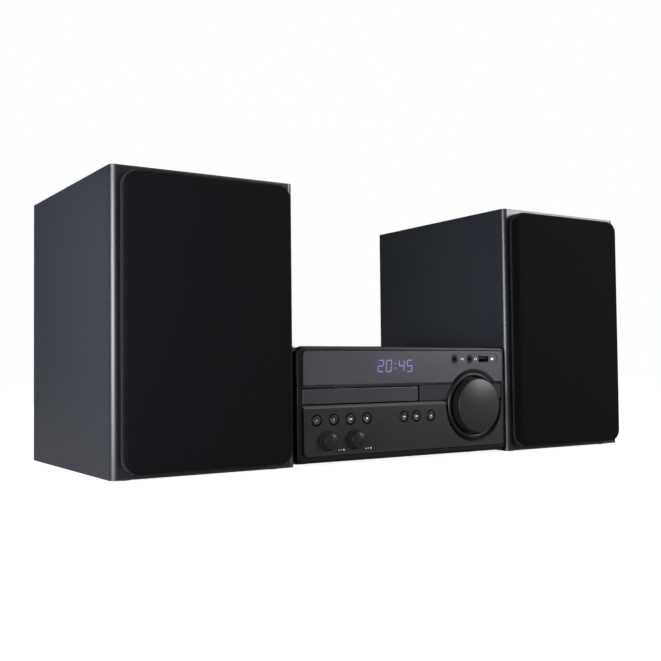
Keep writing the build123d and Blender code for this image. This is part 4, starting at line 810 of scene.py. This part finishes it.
def socket_screws(name, places, body, facing=-1.0):
    """Black screws with hexagonal sockets, one mesh for a set."""
    work = bmesh.new()
    for place in places:
        turn_profile(work, SCREW_PROFILE, place, facing, SCREW_STEPS, SCREW_HEX)
    add_piece(work, name, "screw_steel", body, False)


def round_places(node, behind_tip, radius, count, start):
    """Places round a driver's flange, whose face lies behind the driver's foremost point."""
    low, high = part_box(node)
    middle = (low + high) / 2
    angles = [start + math.tau * number / count for number in range(count)]
    return [
        Vector((middle.x + math.cos(angle) * radius, low.y + behind_tip,
                middle.z + math.sin(angle) * radius))
        for angle in angles
    ]


def add_driver_screws(side):
    woofer = round_places(side + "_woofer_basket", 0.0, WOOFER_SCREW_RADIUS, WOOFER_SCREWS,
                          math.pi / 6)
    tweeter = round_places(side + "_tweeter", TWEETER_DOME_PROUD, TWEETER_SCREW_RADIUS,
                           TWEETER_SCREWS, math.pi / 4)
    socket_screws(side + "_driver_screws", woofer + tweeter, side + "_speaker")


def input_plate_face(side):
    """How far back the outside of a speaker's input plate lies."""
    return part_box(side + "_cabinet")[1].y + INPUT_PLATE


def add_plate_screws(side):
    low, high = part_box(side + "_input_plate")
    face = input_plate_face(side)
    places = [Vector((x, face, z)) for x in (low.x + PLATE_SCREW_INSET, high.x - PLATE_SCREW_INSET)
              for z in (low.z + PLATE_SCREW_INSET, high.z - PLATE_SCREW_INSET)]
    socket_screws(side + "_plate_screws", places, side + "_speaker", 1.0)


def add_collar(name, place, finish, body):
    """A coloured plastic ring round a phono socket's barrel."""
    work = bmesh.new()
    turn_profile(work, COLLAR_PROFILE, place, 1.0)
    add_piece(work, name, finish, body)


def add_rear_collars():
    """White for the left channel and red for the right, on the receiver and on each speaker."""
    low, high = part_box("speaker_sockets")
    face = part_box("rear_panel")[1].y
    height = (low.z + high.z) / 2
    for side, x, finish in (("left", low.x + OUTPUT_INSET, "white_collar"),
                            ("right", high.x - OUTPUT_INSET, "red_collar")):
        add_collar(side + "_output_collar", Vector((x, face, height)), finish, "receiver")
        plate_low, plate_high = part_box(side + "_input_plate")
        middle = (plate_low + plate_high) / 2
        place = Vector((middle.x, input_plate_face(side), middle.z))
        add_collar(side + "_input_collar", place, finish, side + "_speaker")


# ---------------------------------------------------------------- lights, floor and surroundings
FLOOR_HALF = 6.0
FLOOR_DROP = 0.2 * MM
SHADED_REACH, PLAIN_REACH = 0.35, 0.9  # how far out the floor is shaded, and where it is plain
SHADED_GLOW = 0.93


def add_softbox(name, place, target, size, power, colour=(1.0, 1.0, 1.0)):
    data = bpy.data.lights.new(name, "AREA")
    data.shape = "RECTANGLE"
    data.size, data.size_y = size
    data.energy = power
    data.color = colour
    light = bpy.data.objects.new(name, data)
    light.location = place
    light.rotation_euler = (Vector(target) - Vector(place)).to_track_quat("-Z", "Y").to_euler()
    bpy.context.scene.collection.objects.link(light)


def add_lights():
    add_softbox("left_softbox", (-0.76, -0.50, 0.18), (-0.3, -0.14, 0.12), (0.50, 0.42), 11.0,
                (0.93, 0.94, 1.0))
    add_softbox("front_softbox", (1.60, -1.52, 0.70), (0.04, -0.13, 0.06), (0.70, 0.70), 27.0)
    add_softbox("top_softbox", (0.80, -0.45, 1.05), (0.05, -0.1, 0.06), (0.9, 0.9), 7.0)
    add_softbox("back_softbox", (-0.85, 0.90, 0.22), (-0.25, 0.0, 0.12), (0.5, 0.6), 0.42,
                (0.76, 0.88, 1.0))
    add_softbox("rear_fill", (0.75, 1.45, 0.75), (0.05, 0.1, 0.12), (0.9, 0.7), 12.0)


def add_surroundings():
    """White behind everything, and a dim studio in what the gloss reflects."""
    world = bpy.data.worlds.new("studio")
    bpy.context.scene.world = world
    world.use_nodes = True
    tree = world.node_tree
    seen = tree.nodes["Background"]
    seen.inputs["Color"].default_value = (1.0, 1.0, 1.0, 1.0)
    dim = put(tree, "ShaderNodeBackground", {"Color": (0.9, 0.95, 1.0, 1.0), "Strength": 0.025})
    path = put(tree, "ShaderNodeLightPath")
    chosen = put(tree, "ShaderNodeMixShader", {
        0: path.outputs["Is Camera Ray"], 1: dim.outputs[0], 2: seen.outputs[0],
    })
    tree.links.new(chosen.outputs[0], tree.nodes["World Output"].inputs["Surface"])
    bpy.context.scene.view_settings.view_transform = "Standard"


def add_floor():
    """A pale floor under the set, as bright as the surroundings, with a faint contact shade."""
    material = bpy.data.materials.new("pale_floor")
    material.use_nodes = True
    tree = material.node_tree
    principled = tree.nodes["Principled BSDF"]
    principled.inputs["Base Color"].default_value = (0.5, 0.5, 0.5, 1.0)
    principled.inputs["Roughness"].default_value = 1.0
    principled.inputs["Specular IOR Level"].default_value = 0.0
    place = put(tree, "ShaderNodeTexCoord").outputs["Object"]
    away = put(tree, "ShaderNodeVectorMath", {0: place}, operation="LENGTH").outputs["Value"]
    strength = remap(tree, away, SHADED_REACH, PLAIN_REACH, SHADED_GLOW, 1.0)
    glow = put(tree, "ShaderNodeEmission", {"Color": (1.0, 1.0, 1.0, 1.0), "Strength": strength})
    path = put(tree, "ShaderNodeLightPath")
    brightened = put(tree, "ShaderNodeAddShader", {0: principled.outputs[0], 1: glow.outputs[0]})
    chosen = put(tree, "ShaderNodeMixShader", {
        0: path.outputs["Is Camera Ray"], 1: principled.outputs[0], 2: brightened.outputs[0],
    })
    tree.links.new(chosen.outputs[0], tree.nodes["Material Output"].inputs["Surface"])
    work = bmesh.new()
    bmesh.ops.create_grid(work, x_segments=1, y_segments=1, size=FLOOR_HALF)
    data = bpy.data.meshes.new("floor")
    work.to_mesh(data)
    work.free()
    data.materials.append(material)
    floor = bpy.data.objects.new("floor", data)
    floor.location.z = -FLOOR_DROP
    bpy.context.scene.collection.objects.link(floor)


# ---------------------------------------------------------------- the set
SLOT_OF = {row["node"]: row["material_slot"] for row in frame["record"]["subparts"]}
FINISHES = make_finishes()
OWN_FINISH = {
    "tray_door": "door_plastic", "volume_knob": "volume_knob_plastic",
    "bass_knob": "bass_knob_plastic", "treble_knob": "treble_knob_plastic",
}


def dress_by_slot():
    """Every node of the frame takes the finish of its slot, or one of its own."""
    for name, part in frame["nodes"].items():
        finish = OWN_FINISH.get(name, SLOT_OF[name])
        for place in part.material_slots:
            place.link = "OBJECT"
            place.material = FINISHES[finish]


dress_by_slot()
add_camera()
add_lights()
add_surroundings()
add_floor()
add_display()
add_button_marks()
add_tone_marks()
add_socket_marks()
add_rear_collars()
for side in ("left", "right"):
    add_grille_cloth(side)
    add_driver_screws(side)
    add_plate_screws(side)
